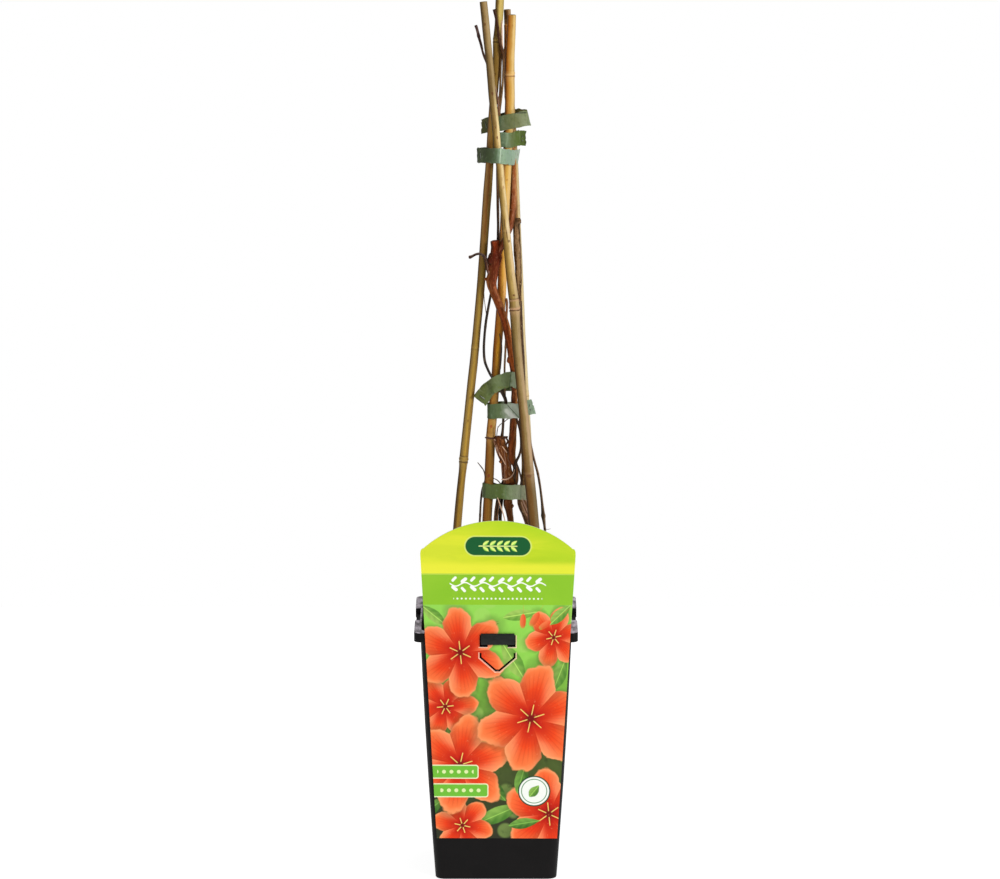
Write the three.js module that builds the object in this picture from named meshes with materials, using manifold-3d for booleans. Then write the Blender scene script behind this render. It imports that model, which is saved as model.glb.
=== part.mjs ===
// A trumpet vine as a garden centre sells it in winter: the leafless plant stands in a tall square
// nursery pot, its stems tied to four bamboo canes, with a picture label hung on the pot's rim.
//
// Millimetres, +Z up. The origin is the middle of the pot's foot, on the surface that it stands on.
// The label faces -Y, and +X is to its right.

import * as THREE from "three";
import { mergeVertices } from "three/addons/utils/BufferGeometryUtils.js";
import Module from "manifold-3d";

const wasm = await Module();
wasm.setup();

const UP = new THREE.Vector3(0, 0, 1);
const RING_START = new THREE.Vector3(0.6, 0.8, 0);
const WELD = 1e-4;
const LENGTH_DIVISIONS = 40;
const SEARCH_STEPS = 24;
const CLEARANCE = 0.35;
const HOLE_GAP = 0.85;
const HOLE_RISE = 10;

// ---------------------------------------------------------------------------------------------
// Driving dimensions
// ---------------------------------------------------------------------------------------------

const POT = {
  height: 210,
  footHalf: 49,
  shoulderHalf: 60,
  shoulderHeight: 203,
  cornerRadius: 14,
  wall: 1.2,
  floor: 1.6,
  footRounding: 4,
  footSteps: [0, 0.05, 0.2, 0.5, 1],
};

const LIP = {
  half: 65,
  cornerRadius: 18,
  skirtHeight: 7,
  thickness: 1.2,
};

const NOTCH = {
  width: 41,
  depth: 4.3,
  inset: 0.8,
};

const DRAIN = {
  raise: 2,
  innerRadius: 20,
  outerRadius: 42,
  holeRadius: 4.5,
  holeCount: 8,
};

const HOOK = {
  width: 27.8,
  reach: 3.3,
  bottom: 203.6,
  seat: 208.2,
  top: 210.2,
  lipThickness: 1.3,
};

const SOIL = {
  surface: 195,
  gridCells: 15,
  mound: { x: 8, y: -2, height: 2.6, spread: 30 },
};

// The soil's crumbs: each ripple is its height times two sines, with [per x, per y, phase].
const SOIL_RIPPLES = [
  { height: 0.8, first: [0.21, 0, 0.5], second: [0, 0.19, 1.2] },
  { height: 0.55, first: [0.83, 0.31, 0], second: [-0.27, 0.71, 1] },
];

const LABEL = {
  centre: 1.7,
  thickness: 0.7,
  leanDegrees: 4.8,
  turnDegrees: 0.2,
  restGap: 0.33,
  bottom: 36,
  bottomHalf: 50.4,
  shoulderHalf: 61.9,
  peak: 304.7,
  archRadius: 88,
  cornerFillet: 5,
};

const WINDOW = {
  width: 28.9,
  top: 208.7,
  bottom: 199.6,
  bumpHalf: 7.2,
  bumpRise: 2.6,
  bumpSlope: 1.2,
};

const TONGUE = {
  hinge: 194.5,
  shoulder: 189.8,
  tip: 179.6,
  tipHalf: 2.2,
  half: 14.4,
  slit: 0.9,
  bend: 1.1,
};

const TAPE = {
  width: 12.3,
  thickness: 0.7,
  layerGap: 0.4,
  steps: 34,
};

const STAPLE = {
  crown: 5,
  wire: 0.5,
  clinch: 1.6,
  holeSide: 1.3,
  gap: 0.42,
  place: 0.45,
};

const FINISH = {
  pot: { color: 0x1e1c1c, roughness: 0.45, metalness: 0 },
  soil: { color: 0x2e2119, roughness: 0.95, metalness: 0 },
  paleCane: { color: 0xa8945c, roughness: 0.5, metalness: 0 },
  goldCane: { color: 0xb98232, roughness: 0.5, metalness: 0 },
  bark: { color: 0x6b3520, roughness: 0.8, metalness: 0 },
  tape: { color: 0x69825a, roughness: 0.5, metalness: 0 },
  steel: { color: 0xb0b0b0, roughness: 0.35, metalness: 1 },
  wire: { color: 0x33201a, roughness: 0.6, metalness: 0.6 },
  label: { color: 0x8ccb2c, roughness: 0.4, metalness: 0 },
};

// Faces on round things.
const CANE_SIDES = 9;
const KNOT_SIDES = 9;
const KNOT_RINGS = 7;
const DISC_SIDES = 24;
const DRAIN_SIDES = 12;
const CORNER_SEGMENTS = 5;
const ARCH_SEGMENTS = 28;

// A stem has a ring every few radii, and no closer than the shortest step.
const STEM_STEP = 3.6;
const SHORTEST_STEM_STEP = 5.2;
const FEWEST_STEM_STEPS = 3;

// The four canes. Each row is a point on the axis, from the foot to the cut top, with the radius
// there: [x, y, z, radius]. The joints are the heights of the cane's nodes.
const CANES = {
  cane_front: {
    finish: FINISH.paleCane,
    joints: [172, 332, 470, 528, 622, 690],
    axis: [
      [46.6, -33.4, 113, 4.3],
      [39.2, -30, 196, 4.3],
      [30.1, -25.9, 296, 4.2],
      [26.3, -24.4, 332, 4.2],
      [22.1, -22.3, 383, 4.2],
      [17.6, -20.6, 425, 4.15],
      [15.1, -18.8, 470, 3.9],
      [12.5, -17.8, 495, 3.75],
      [6.8, -15.6, 547, 3.3],
      [3.4, -14.2, 582, 3.0],
      [-0.1, -12.6, 621, 2.95],
      [-6.3, -10.5, 673, 2.8],
      [-9.8, -9, 711.5, 2.65],
    ],
  },
  cane_left: {
    finish: FINISH.goldCane,
    joints: [205, 338, 430, 556, 684],
    axis: [
      [-44.6, 4.6, 122, 3.4],
      [-39.3, 4, 187, 3.4],
      [-30.0, 3, 297, 3.3],
      [-25.9, 2.6, 338, 3.35],
      [-23.8, 2.3, 363, 3.2],
      [-18.8, 1.8, 411, 3.15],
      [-13.2, 1.3, 465, 3.1],
      [-9.5, 0.8, 518, 3.15],
      [-5.1, 0.3, 578, 3.15],
      [-2.8, 0, 619, 3.0],
      [0.6, 0, 672, 3.0],
      [2.9, 0, 706, 3.35],
      [3.5, 0, 722, 3.35],
    ],
  },
  cane_centre: {
    finish: FINISH.goldCane,
    joints: [205, 357, 520, 651],
    axis: [
      [-13.6, 0, 101, 3.85],
      [-10.7, 0, 188, 3.85],
      [-6.6, 0, 297, 3.75],
      [-5.2, 0, 330, 3.65],
      [-3.0, 0, 367, 3.4],
      [0.2, 0, 411, 3.45],
      [1.4, 0, 429, 3.5],
      [4.3, 0, 470, 3.55],
      [5.6, 0, 503, 3.55],
      [8.8, 0, 578, 3.6],
      [10.6, 0, 619, 3.65],
      [11.1, 0, 664, 3.55],
      [12.5, 0, 699, 3.2],
    ],
  },
  cane_back: {
    finish: FINISH.goldCane,
    joints: [236, 388, 545],
    axis: [
      [41.6, 35.5, 105, 2.9],
      [36.9, 31, 181, 2.8],
      [29.8, 25, 283, 2.8],
      [22.6, 18, 404, 2.7],
      [20.5, 16, 434, 2.7],
      [18.6, 14, 476, 2.7],
      [16.5, 12.7, 537, 2.7],
      [14.9, 12, 577, 2.7],
      [11.6, 11.2, 640, 2.75],
      [9.1, 10.8, 703, 2.8],
    ],
  },
};

// The vine, one grown piece: a crown with its stock in the soil, and the stems that rise from it.
// Each row is [x, y, z, radius] along a stem, from its root end to its tip.
const STOCK = {
  sides: 9,
  points: [
    [9, 1, 128, 2.2],
    [8, 0, 146, 4.4],
    [10, -2, 168, 7.5],
    [9.5, -3, 186, 9.5],
    [9.5, -3.5, 197, 8.6],
    [9.8, -4, 203, 5.6],
  ],
};

const STEMS = {
  // The reddish main stem, up to its thick pruned stub.
  main: {
    sides: 7,
    points: [
      [9.6, -3.5, 196, 4.6],
      [11.6, -3.8, 222, 3.2],
      [12.6, -4.6, 258, 2.5],
      [11.8, -5, 290, 2.3],
      [10.5, -5, 303, 3.1],
      [11.2, -5, 316, 2.9],
      [11.0, -5.5, 330, 3.9],
      [12.3, -6.5, 340, 3.1],
      [13.9, -7.5, 358, 2.8],
      [14.6, -8, 370, 2.5],
      [15.2, -8.5, 394, 2.3],
      [13.7, -8.5, 418, 2.5],
      [11.6, -8.5, 431, 2.7],
      [8.9, -8.5, 450, 2.65],
      [2.0, -8.3, 468, 2.75],
      [-1.6, -8, 479, 2.9],
      [-2.7, -8, 487, 3.8],
      [-1.2, -8, 493, 2.9],
      [-1.0, -8, 501, 4.7],
      [-1.2, -8, 511, 4.4],
      [-1.0, -8, 519.5, 3.6],
    ],
  },
  // From the stub's node, round between the canes, up to a cut tip among their tops.
  upper: {
    sides: 7,
    points: [
      [-1.2, -8, 505, 2.8],
      [2.4, -7.9, 512, 2.2],
      [6.9, -7.2, 521, 1.8],
      [11.4, -4.4, 529, 1.7],
      [13.7, 0.5, 540, 1.7],
      [13.9, 3.9, 556, 1.6],
      [13.8, 5.2, 577, 1.6],
      [12.4, 5.9, 596, 1.6],
      [10.0, 6.2, 616, 1.6],
      [8.1, 5.4, 640, 1.6],
      [7.9, 4.8, 664, 1.6],
      [8.0, 4.6, 692.5, 1.6],
    ],
  },
  // The brown stem on the right, which runs up behind the front cane to a knot.
  right: {
    sides: 7,
    points: [
      [10, -3.5, 197, 4.6],
      [18, -6, 212, 3.9],
      [26, -8.3, 232, 3.6],
      [29.2, -9.5, 258, 3.5],
      [26.7, -10.5, 290, 3.6],
      [22.6, -10.6, 305, 3.4],
      [20.8, -10.4, 318, 3.2],
      [22.0, -9.6, 337, 3.0],
      [20.9, -6, 369, 2.9],
      [20.2, -3, 406, 2.9],
      [18.7, -1.6, 438, 2.8],
      [17.9, -0.6, 470, 2.8],
      [16.9, 0, 482, 2.8],
      [16.5, 1.4, 496, 2.7],
      [16.7, 2, 510, 3.0],
      [16.9, 2.5, 522, 2.6],
      [17.6, 3, 536, 3.3],
    ],
  },
  // The knot's short spur.
  spur: {
    sides: 6,
    points: [
      [17.6, 3, 533, 2.2],
      [20.2, 3.0, 538, 1.5],
      [20.9, 3.0, 540.5, 0.9],
    ],
  },
  // The stem with shredded bark, wired to the centre cane where it was cut.
  barky: {
    sides: 7,
    points: [
      [10.6, -5.5, 326, 3.8],
      [9.4, -5, 336, 4.0],
      [6.6, -4.2, 345, 3.9],
      [4.6, -3.4, 352, 3.7],
      [3.6, -2.9, 362, 3.4],
    ],
  },
  barkySpur: {
    sides: 6,
    points: [
      [7.4, -4.6, 341, 2.2],
      [3.6, -5, 338.6, 1.7],
      [2.2, -5, 337.6, 1.0],
    ],
  },
  // Two dark stems from the crown to the tangle, close beside the centre cane.
  dark: {
    sides: 7,
    points: [
      [8.6, -4, 196, 3.4],
      [4.0, -4.2, 226, 2.2],
      [0.8, -4, 262, 1.8],
      [0.0, -3.6, 290, 1.8],
      [1.6, -3.8, 305, 1.9],
      [4.6, -4.4, 315, 2.2],
      [9.2, -5.2, 326, 2.8],
    ],
  },
  darkSecond: {
    sides: 6,
    points: [
      [10.6, -1.0, 196, 3.0],
      [7.4, 2.0, 226, 1.6],
      [4.4, 2.4, 262, 1.3],
      [3.4, 1.4, 290, 1.3],
      [4.6, 0.4, 304, 1.3],
      [7.2, -2.0, 316, 1.6],
      [10.4, -4.6, 327, 2.2],
    ],
  },
  // The slim shoot that winds from the barky stem up to the cane tops.
  shoot: {
    sides: 6,
    points: [
      [4.2, -3.0, 355, 1.6],
      [5.4, -4.4, 364, 1.0],
      [6.2, -5.6, 378, 1.0],
      [7.9, -6.6, 388, 1.2],
      [4.4, -6.6, 396.5, 1.4],
      [0.6, -6.3, 403, 1.0],
      [-3.7, -6, 408.5, 0.9],
      [-6.8, -5.5, 414.5, 0.85],
      [-9.2, -5, 423, 0.8],
      [-9.9, -5, 433, 0.8],
      [-8.7, -5, 449, 0.8],
      [-7.2, -4.6, 461, 0.8],
      [-5.2, -2.8, 474, 0.8],
      [-2.6, -1.4, 487, 0.8],
      [-0.7, -1.0, 501, 0.8],
      [0.9, -1.6, 519, 0.8],
      [1.7, -3.2, 552, 0.8],
      [1.9, -4, 580, 0.8],
      [2.1, -4.6, 600, 0.9],
      [2.4, -4.8, 621, 1.2],
      [3.7, -4.8, 637, 1.1],
      [5.6, -4.9, 664, 1.1],
      [5.5, -5, 673, 1.5],
      [4.0, -5.1, 681, 1.3],
      [2.9, -5.2, 691, 1.3],
      [0.8, -5.2, 698, 1.3],
      [-1.0, -5, 705, 1.0],
    ],
  },
  topBlack: {
    sides: 5,
    points: [
      [2.6, -4.8, 628, 0.8],
      [3.9, -3.6, 644, 0.7],
      [4.4, -2.9, 656, 0.7],
      [4.5, -2.7, 669, 0.6],
    ],
  },
  topLeft: {
    sides: 6,
    points: [
      [2.3, -4.8, 618, 0.9],
      [1.5, -5.7, 632, 0.9],
      [-2.4, -5.9, 648, 0.8],
      [-6.8, -5.9, 661, 0.8],
      [-9.6, -5.6, 668, 0.8],
      [-12.2, -6, 677, 0.8],
      [-13.7, -6, 684, 1.1],
      [-14.4, -6, 688, 0.9],
      [-16.2, -6, 693.5, 1.0],
    ],
  },
  topLeftTwig: {
    sides: 5,
    points: [
      [-13.6, -6, 683, 0.8],
      [-11.9, -7.4, 679.5, 0.6],
      [-10.6, -8.2, 676.5, 0.6],
    ],
  },
  sideTwig: {
    sides: 6,
    points: [
      [-2.8, -8, 488, 2.2],
      [-5.6, -9, 492, 1.7],
      [-8.2, -8.2, 497, 1.5],
      [-10.6, -6.8, 503, 1.3],
      [-12.4, -6.4, 507, 1.0],
      [-15.7, -6.5, 508.6, 0.8],
      [-19.6, -6.5, 507.2, 0.9],
      [-22.2, -6.5, 505.6, 1.3],
      [-23.4, -6.5, 505.2, 0.8],
    ],
  },
  // A slim grey shoot behind the main stem.
  grey: {
    sides: 5,
    points: [
      [7.2, -6.4, 392, 0.8],
      [6.6, -4.9, 405, 0.7],
      [6.1, -3.8, 418, 0.7],
      [6.4, -2.5, 432, 0.7],
      [8.2, -1.6, 450, 0.7],
      [9.6, -2.6, 466, 0.9],
      [9.6, -4.4, 480, 0.7],
    ],
  },
  // A slim dark shoot that leaves the tangle beside the front cane.
  darkRight: {
    sides: 5,
    points: [
      [12.2, -6.8, 328, 1.2],
      [17.2, -10.8, 340, 1.0],
      [20.4, -14.4, 350, 0.8],
      [20.6, -15.0, 359, 0.8],
      [18.9, -13.4, 367, 0.8],
      [16.8, -10.9, 374, 0.8],
      [14.6, -9.6, 381, 0.8],
    ],
  },
  // A slim shoot from the crown, out on the right and back behind the front cane.
  rightThin: {
    sides: 6,
    points: [
      [14, -3.6, 200, 2.4],
      [27, -3, 211, 1.4],
      [38.0, -3.5, 229, 1.1],
      [41.6, -7, 256, 1.05],
      [39.3, -12, 286, 1.05],
      [38.2, -13.5, 295, 1.6],
      [37.2, -14, 306, 1.0],
      [35.5, -14.5, 320, 1.0],
      [33.8, -14.8, 330, 1.0],
      [30.9, -15, 341, 1.0],
      [27.6, -14.6, 355, 1.0],
      [23.6, -11.8, 371, 1.1],
      [21.2, -9.6, 384, 1.4],
    ],
  },
  // A slim dark shoot on the left of the centre cane.
  leftThin: {
    sides: 5,
    points: [
      [7.2, -4.8, 200, 2.2],
      [-1.5, -7.2, 215, 1.2],
      [-10.4, -6.5, 244, 0.9],
      [-13.6, -3.6, 272, 0.9],
      [-12.9, -0.6, 293, 0.9],
      [-12.3, 2.8, 304.5, 0.85],
      [-11.2, 5.6, 313, 0.8],
      [-8.9, 6.8, 321, 0.7],
      [-10.2, 6.6, 328.5, 0.6],
      [-14.9, 4.6, 335.4, 0.6],
    ],
  },
};

// Buds and knots: [x, y, z], then the half length along each axis.
const KNOTS = {
  crown: { at: [9.7, -3, 192], size: [12.5, 9.5, 6.5] },
  stub: { at: [-3.2, -8, 506], size: [3.6, 3.9, 5.2] },
  stubBud: { at: [-6.8, -8.6, 488.5], size: [1.6, 1.3, 1.9] },
  bendBud: { at: [8.6, -9.6, 426.6], size: [1.7, 1.2, 2.2] },
  lowBud: { at: [14.6, -6.6, 302.6], size: [1.9, 1.6, 2.2] },
};

// The six tie tapes, from the top down. Each is one strip that goes once round the canes and
// stems, counterclockwise from above, and whose two ends lie side by side from the root to the tip
// of a tail, where a staple holds them. The points are [x, y, z] on the strip's middle line.
const TIES = {
  tie_1: {
    tip: [-12.4, 6.6, 610.3],
    root: [-4.2, 6.2, 611.9],
    loop: [
      [-0.6, 4.6, 612.6],
      [1.3, 2.0, 613.1],
      [1.0, -1.8, 613.4],
      [-0.4, -5.5, 613.7],
      [1.9, -8.2, 614.2],
      [7, -7.2, 615.1],
      [13, -6, 616.2],
      [20.5, -4.2, 617.6],
      [26.2, -1.2, 618.6],
      [27.4, 2.4, 618.9],
      [24, 7, 618.4],
      [18.4, 12.4, 617.1],
      [14.6, 16.0, 616.2],
      [10.6, 15.6, 615.4],
      [6.6, 11.6, 614.4],
      [1.4, 8.0, 613.2],
    ],
  },
  tie_2: {
    tip: [23.6, 3.0, 600.6],
    root: [18.8, 3.4, 600.6],
    loop: [
      [17.9, 6, 600.4],
      [17.9, 11, 599.9],
      [15.8, 15.4, 599.5],
      [11.6, 15.8, 599.3],
      [8.4, 12, 599.4],
      [5.0, 5, 599.8],
      [1.4, -2, 600.2],
      [0.1, -5.2, 600.4],
      [2.2, -7.0, 600.5],
      [6, -6.4, 600.6],
      [10.2, -5.3, 600.6],
      [14.4, -3.0, 600.6],
      [16.8, 0.9, 600.6],
    ],
  },
  tie_3: {
    tip: [-15.6, -4.8, 587.8],
    root: [-10.4, -4.0, 588.0],
    loop: [
      [-8.6, -4.9, 588.2],
      [-6.2, -7.4, 588.4],
      [-3.4, -12, 588.8],
      [-0.9, -16.2, 589.2],
      [3, -18.3, 589.2],
      [6.9, -16.2, 588.6],
      [10.2, -9.6, 587.4],
      [13.8, -1.6, 586.0],
      [16.6, 5, 585.0],
      [18.8, 11, 584.2],
      [17.2, 15.6, 583.8],
      [12.4, 16.1, 584.0],
      [2.4, 10.0, 585.4],
      [-6.6, 4.7, 586.6],
      [-9.3, 1.4, 587.2],
    ],
  },
  tie_4: {
    tip: [-13.2, -4.4, 388.2],
    root: [-8.2, -4.2, 394.6],
    loop: [
      [-5.4, -5.4, 398.2],
      [-2.6, -8.1, 401.4],
      [1.2, -9.4, 403.4],
      [5, -10, 405.2],
      [10, -11.4, 407.0],
      [14.8, -12.3, 406.9],
      [18.0, -10.2, 405.4],
      [17.9, -7.0, 404.0],
      [14.2, -2.9, 402.4],
      [9, 1.8, 400.8],
      [3.4, 4.8, 399.2],
      [-1, 5.0, 397.8],
      [-4.9, 3.2, 396.6],
      [-6.3, -0.4, 395.8],
    ],
  },
  tie_5: {
    tip: [31.4, -10.4, 385.6],
    root: [26.0, -10.4, 383.8],
    loop: [
      [25.2, -6.6, 382.8],
      [24.2, -2.2, 381.8],
      [20.4, -0.6, 381.0],
      [12, 2.8, 380.2],
      [3.4, 4.9, 379.8],
      [-2, 4.9, 379.6],
      [-5.7, 3, 379.5],
      [-6.9, -0.6, 379.4],
      [-5.4, -4, 379.5],
      [-1.4, -6.0, 379.8],
      [5, -8.8, 380.4],
      [11, -12, 381.0],
      [16, -13.5, 381.6],
      [21.8, -13.6, 382.6],
    ],
  },
  tie_6: {
    tip: [16.2, 9.6, 311.4],
    root: [12.9, 5.4, 311.4],
    loop: [
      [8.8, 4.4, 311.6],
      [2, 4.8, 312.0],
      [-4, 5, 312.6],
      [-8.4, 4, 312.9],
      [-10.95, 0.6, 313.1],
      [-9.85, -3.2, 313.3],
      [-6, -4.9, 313.4],
      [-0.5, -6.4, 313.6],
      [4, -7.8, 313.8],
      [9, -9.6, 314.0],
      [14.4, -12.4, 314.3],
      [19.4, -15.0, 314.5],
      [23.6, -14.9, 314.5],
      [26.4, -12, 314.1],
      [26.0, -8.2, 313.4],
      [21, -2.8, 312.4],
      [16.0, 2.0, 311.8],
    ],
  },
};

// The thin wire that holds the cut stem to the centre cane, and its twisted tail.
const WIRE = {
  radius: 0.5,
  sides: 6,
  loopSteps: 24,
  tailSteps: 8,
  loop: [
    [8.6, -6.9, 358.2],
    [9.0, -2.6, 359.4],
    [6.8, 1.4, 359.8],
    [1.2, 4.2, 359.4],
    [-3.5, 5.0, 358.8],
    [-7.3, 3.2, 358.2],
    [-8.5, 0, 357.8],
    [-7.3, -3.3, 357.4],
    [-3.4, -5.1, 357.2],
    [1, -7.0, 357.4],
    [4.8, -7.9, 357.8],
    [8.0, -7.5, 358.0],
  ],
  tail: [
    [7.4, -7.4, 359.2],
    [8.4, -7.5, 357.6],
    [9.4, -7.9, 355.8],
    [8.9, -8.2, 353.6],
    [7.6, -8.0, 352.0],
  ],
  tailRadius: 0.75,
};

// ---------------------------------------------------------------------------------------------
// Solids: closed meshes joined and cut
// ---------------------------------------------------------------------------------------------

function solidOf(geometry) {
  const bare = geometry.clone();
  bare.deleteAttribute("normal");
  bare.deleteAttribute("uv");
  const merged = mergeVertices(bare, WELD);
  return new wasm.Manifold(
    new wasm.Mesh({
      numProp: 3,
      vertProperties: new Float32Array(merged.attributes.position.array),
      triVerts: new Uint32Array(merged.index.array),
    }),
  );
}

function geometryOf(solid) {
  const mesh = solid.getMesh();
  const geometry = new THREE.BufferGeometry();
  geometry.setAttribute("position", new THREE.BufferAttribute(mesh.vertProperties, 3));
  geometry.setIndex(new THREE.BufferAttribute(mesh.triVerts, 1));
  geometry.computeVertexNormals();
  return geometry;
}

// Moves each vertex of a geometry by a rule.
function bend(geometry, place) {
  const position = geometry.attributes.position;
  const point = new THREE.Vector3();
  for (let i = 0; i < position.count; i += 1) {
    point.fromBufferAttribute(position, i);
    place(point);
    position.setXYZ(i, point.x, point.y, point.z);
  }
  return geometry;
}

function box(x0, x1, y0, y1, z0, z1) {
  const geometry = new THREE.BoxGeometry(x1 - x0, y1 - y0, z1 - z0);
  geometry.translate((x0 + x1) / 2, (y0 + y1) / 2, (z0 + z1) / 2);
  return solidOf(geometry);
}

function disc(radius, z0, z1, { x = 0, y = 0, sides = DISC_SIDES } = {}) {
  const geometry = new THREE.CylinderGeometry(radius, radius, z1 - z0, sides);
  geometry.rotateX(Math.PI / 2);
  geometry.translate(x, y, (z0 + z1) / 2);
  return solidOf(geometry);
}

function ring(outer, inner, z0, z1) {
  return disc(outer, z0, z1).subtract(disc(inner, z0 - 1, z1 + 1));
}

// A tube of changing radius along a curve. Each ring has a place u on the curve, from 0 to 1, and
// a radius. The cylinder's rings are moved onto the curve, so both ends stay capped.
function tube(curve, rings, sides) {
  const last = rings.length - 1;
  const tangent = curve.getTangentAt(0);
  const across = RING_START.clone().cross(tangent).normalize();
  const frames = rings.map(({ u, radius }) => {
    const ahead = curve.getTangentAt(u);
    across.addScaledVector(ahead, -across.dot(ahead)).normalize();
    return {
      centre: curve.getPointAt(u),
      side: across.clone(),
      other: new THREE.Vector3().crossVectors(across, ahead),
      radius,
    };
  });
  const geometry = new THREE.CylinderGeometry(1, 1, last, sides, last);
  return bend(geometry, (p) => {
    const frame = frames[Math.round(p.y + last / 2)];
    const { x, z } = p;
    p.copy(frame.centre);
    p.addScaledVector(frame.side, x * frame.radius);
    p.addScaledVector(frame.other, z * frame.radius);
  });
}

function curveThrough(points) {
  const path = points.map(([x, y, z]) => new THREE.Vector3(x, y, z));
  const curve = new THREE.CatmullRomCurve3(path, false, "centripetal");
  curve.arcLengthDivisions = LENGTH_DIVISIONS * points.length;
  return curve;
}

// The radius at u, between the radii of the curve's own points.
function radiusAt(curve, points, u) {
  const along = curve.getUtoTmapping(u) * (points.length - 1);
  const before = Math.min(Math.floor(along), points.length - 2);
  return THREE.MathUtils.lerp(points[before][3], points[before + 1][3], along - before);
}

// ---------------------------------------------------------------------------------------------
// Canes and vine
// ---------------------------------------------------------------------------------------------

// Finds u where a rising curve passes a height.
function placeAtHeight(curve, height) {
  let low = 0;
  let high = 1;
  for (let i = 0; i < SEARCH_STEPS; i += 1) {
    const middle = (low + high) / 2;
    if (curve.getPointAt(middle).z < height) low = middle;
    else high = middle;
  }
  return (low + high) / 2;
}

// A cane's joint: two low ridges with a groove between them.
const JOINT_PROFILE = [
  { rise: -4, swell: 1.0 },
  { rise: -0.9, swell: 1.1 },
  { rise: 0.1, swell: 1.0 },
  { rise: 1.2, swell: 1.11 },
  { rise: 5, swell: 1.0 },
];
const JOINT_REACH = 8;

function caneGeometry({ axis, joints }) {
  const curve = curveThrough(axis);
  const plain = axis.map((point) => ({ height: point[2], swell: 1 }));
  const swollen = joints.flatMap((joint) =>
    JOINT_PROFILE.map(({ rise, swell }) => ({ height: joint + rise, swell })),
  );
  const clearOfJoints = plain.filter(({ height }) =>
    joints.every((joint) => Math.abs(height - joint) > JOINT_REACH),
  );
  const stations = [...clearOfJoints, ...swollen].sort((a, b) => a.height - b.height);
  const rings = stations.map(({ height, swell }) => {
    const u = placeAtHeight(curve, height);
    return { u, radius: swell * radiusAt(curve, axis, u) };
  });
  rings[0].u = 0;
  rings[rings.length - 1].u = 1;
  return tube(curve, rings, CANE_SIDES);
}

function stemGeometry({ points, sides }, grow = 0) {
  const curve = curveThrough(points);
  const radii = points.map((point) => point[3]);
  const mean = radii.reduce((sum, radius) => sum + radius, 0) / radii.length;
  const step = Math.max(STEM_STEP * mean, SHORTEST_STEM_STEP);
  const count = Math.max(FEWEST_STEM_STEPS, Math.ceil(curve.getLength() / step));
  const rings = [];
  for (let i = 0; i <= count; i += 1) {
    const u = i / count;
    rings.push({ u, radius: radiusAt(curve, points, u) + grow });
  }
  return tube(curve, rings, sides);
}

function knotGeometry({ at, size }) {
  const geometry = new THREE.SphereGeometry(1, KNOT_SIDES, KNOT_RINGS);
  geometry.rotateX(Math.PI / 2);
  geometry.scale(...size);
  geometry.translate(...at);
  return geometry;
}

function vineSolid() {
  const pieces = [STOCK, ...Object.values(STEMS)].map((stem) => solidOf(stemGeometry(stem)));
  const knots = Object.values(KNOTS).map((knot) => solidOf(knotGeometry(knot)));
  return wasm.Manifold.union([...pieces, ...knots]);
}

// ---------------------------------------------------------------------------------------------
// Tie tapes, staples and wire
// ---------------------------------------------------------------------------------------------

// The strip's middle line: out along one side of the tail, round the loop, and back along the
// other side.
function tieCurve({ tip, root, loop }) {
  const from = new THREE.Vector3(...root);
  const to = new THREE.Vector3(...tip);
  const aside = new THREE.Vector3().crossVectors(from.clone().sub(to), UP).normalize();
  aside.multiplyScalar((TAPE.thickness + TAPE.layerGap) / 2);
  const middle = from.clone().lerp(to, 0.5);
  const near = [to, middle, from].map((p) => p.clone().add(aside));
  const far = [from, middle, to].map((p) => p.clone().sub(aside));
  const side = (points) => points.map((p) => p.toArray());
  return curveThrough([...side(near), ...loop, ...side(far)]);
}

// A strip stands on edge along its path: its thickness is level, and its width square to the path.
function stripGeometry(curve) {
  const last = TAPE.steps;
  const frames = [];
  for (let i = 0; i <= last; i += 1) {
    const ahead = curve.getTangentAt(i / last);
    const outward = new THREE.Vector3().crossVectors(ahead, UP).normalize();
    const across = new THREE.Vector3().crossVectors(outward, ahead);
    frames.push({ centre: curve.getPointAt(i / last), outward, across });
  }
  const geometry = new THREE.BoxGeometry(last, TAPE.thickness, TAPE.width, last, 1, 1);
  return bend(geometry, (p) => {
    const frame = frames[Math.round(p.x + last / 2)];
    const { y, z } = p;
    p.copy(frame.centre);
    p.addScaledVector(frame.outward, -y);
    p.addScaledVector(frame.across, z);
  });
}

// The staple's own frame, half way along the tail: x along its crown, y through the tape.
function stapleFrame({ tip, root }) {
  const from = new THREE.Vector3(...root);
  const to = new THREE.Vector3(...tip);
  const ahead = from.clone().sub(to).normalize();
  const outward = new THREE.Vector3().crossVectors(ahead, UP).normalize();
  const across = new THREE.Vector3().crossVectors(outward, ahead);
  const frame = new THREE.Matrix4().makeBasis(across, outward, ahead);
  return frame.setPosition(to.lerp(from, STAPLE.place));
}

// Half the height of the closed staple, from the tail's middle to the middle of its wire.
const STAPLE_HALF = TAPE.thickness + TAPE.layerGap / 2 + STAPLE.gap + STAPLE.wire / 2;

function stapleGeometry(tie) {
  const { crown, wire, clinch } = STAPLE;
  const outer = crown / 2;
  const top = STAPLE_HALF + wire / 2;
  const shape = new THREE.Shape();
  shape.moveTo(-outer, top);
  shape.lineTo(-outer, -top);
  shape.lineTo(-outer + clinch, -top);
  shape.lineTo(-outer + clinch, -top + wire);
  shape.lineTo(-outer + wire, -top + wire);
  shape.lineTo(-outer + wire, top - wire);
  shape.lineTo(outer - wire, top - wire);
  shape.lineTo(outer - wire, -top + wire);
  shape.lineTo(outer - clinch, -top + wire);
  shape.lineTo(outer - clinch, -top);
  shape.lineTo(outer, -top);
  shape.lineTo(outer, top);
  const geometry = new THREE.ExtrudeGeometry(shape, { depth: wire, bevelEnabled: false });
  geometry.translate(0, 0, -wire / 2);
  geometry.applyMatrix4(stapleFrame(tie));
  return geometry;
}

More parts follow.
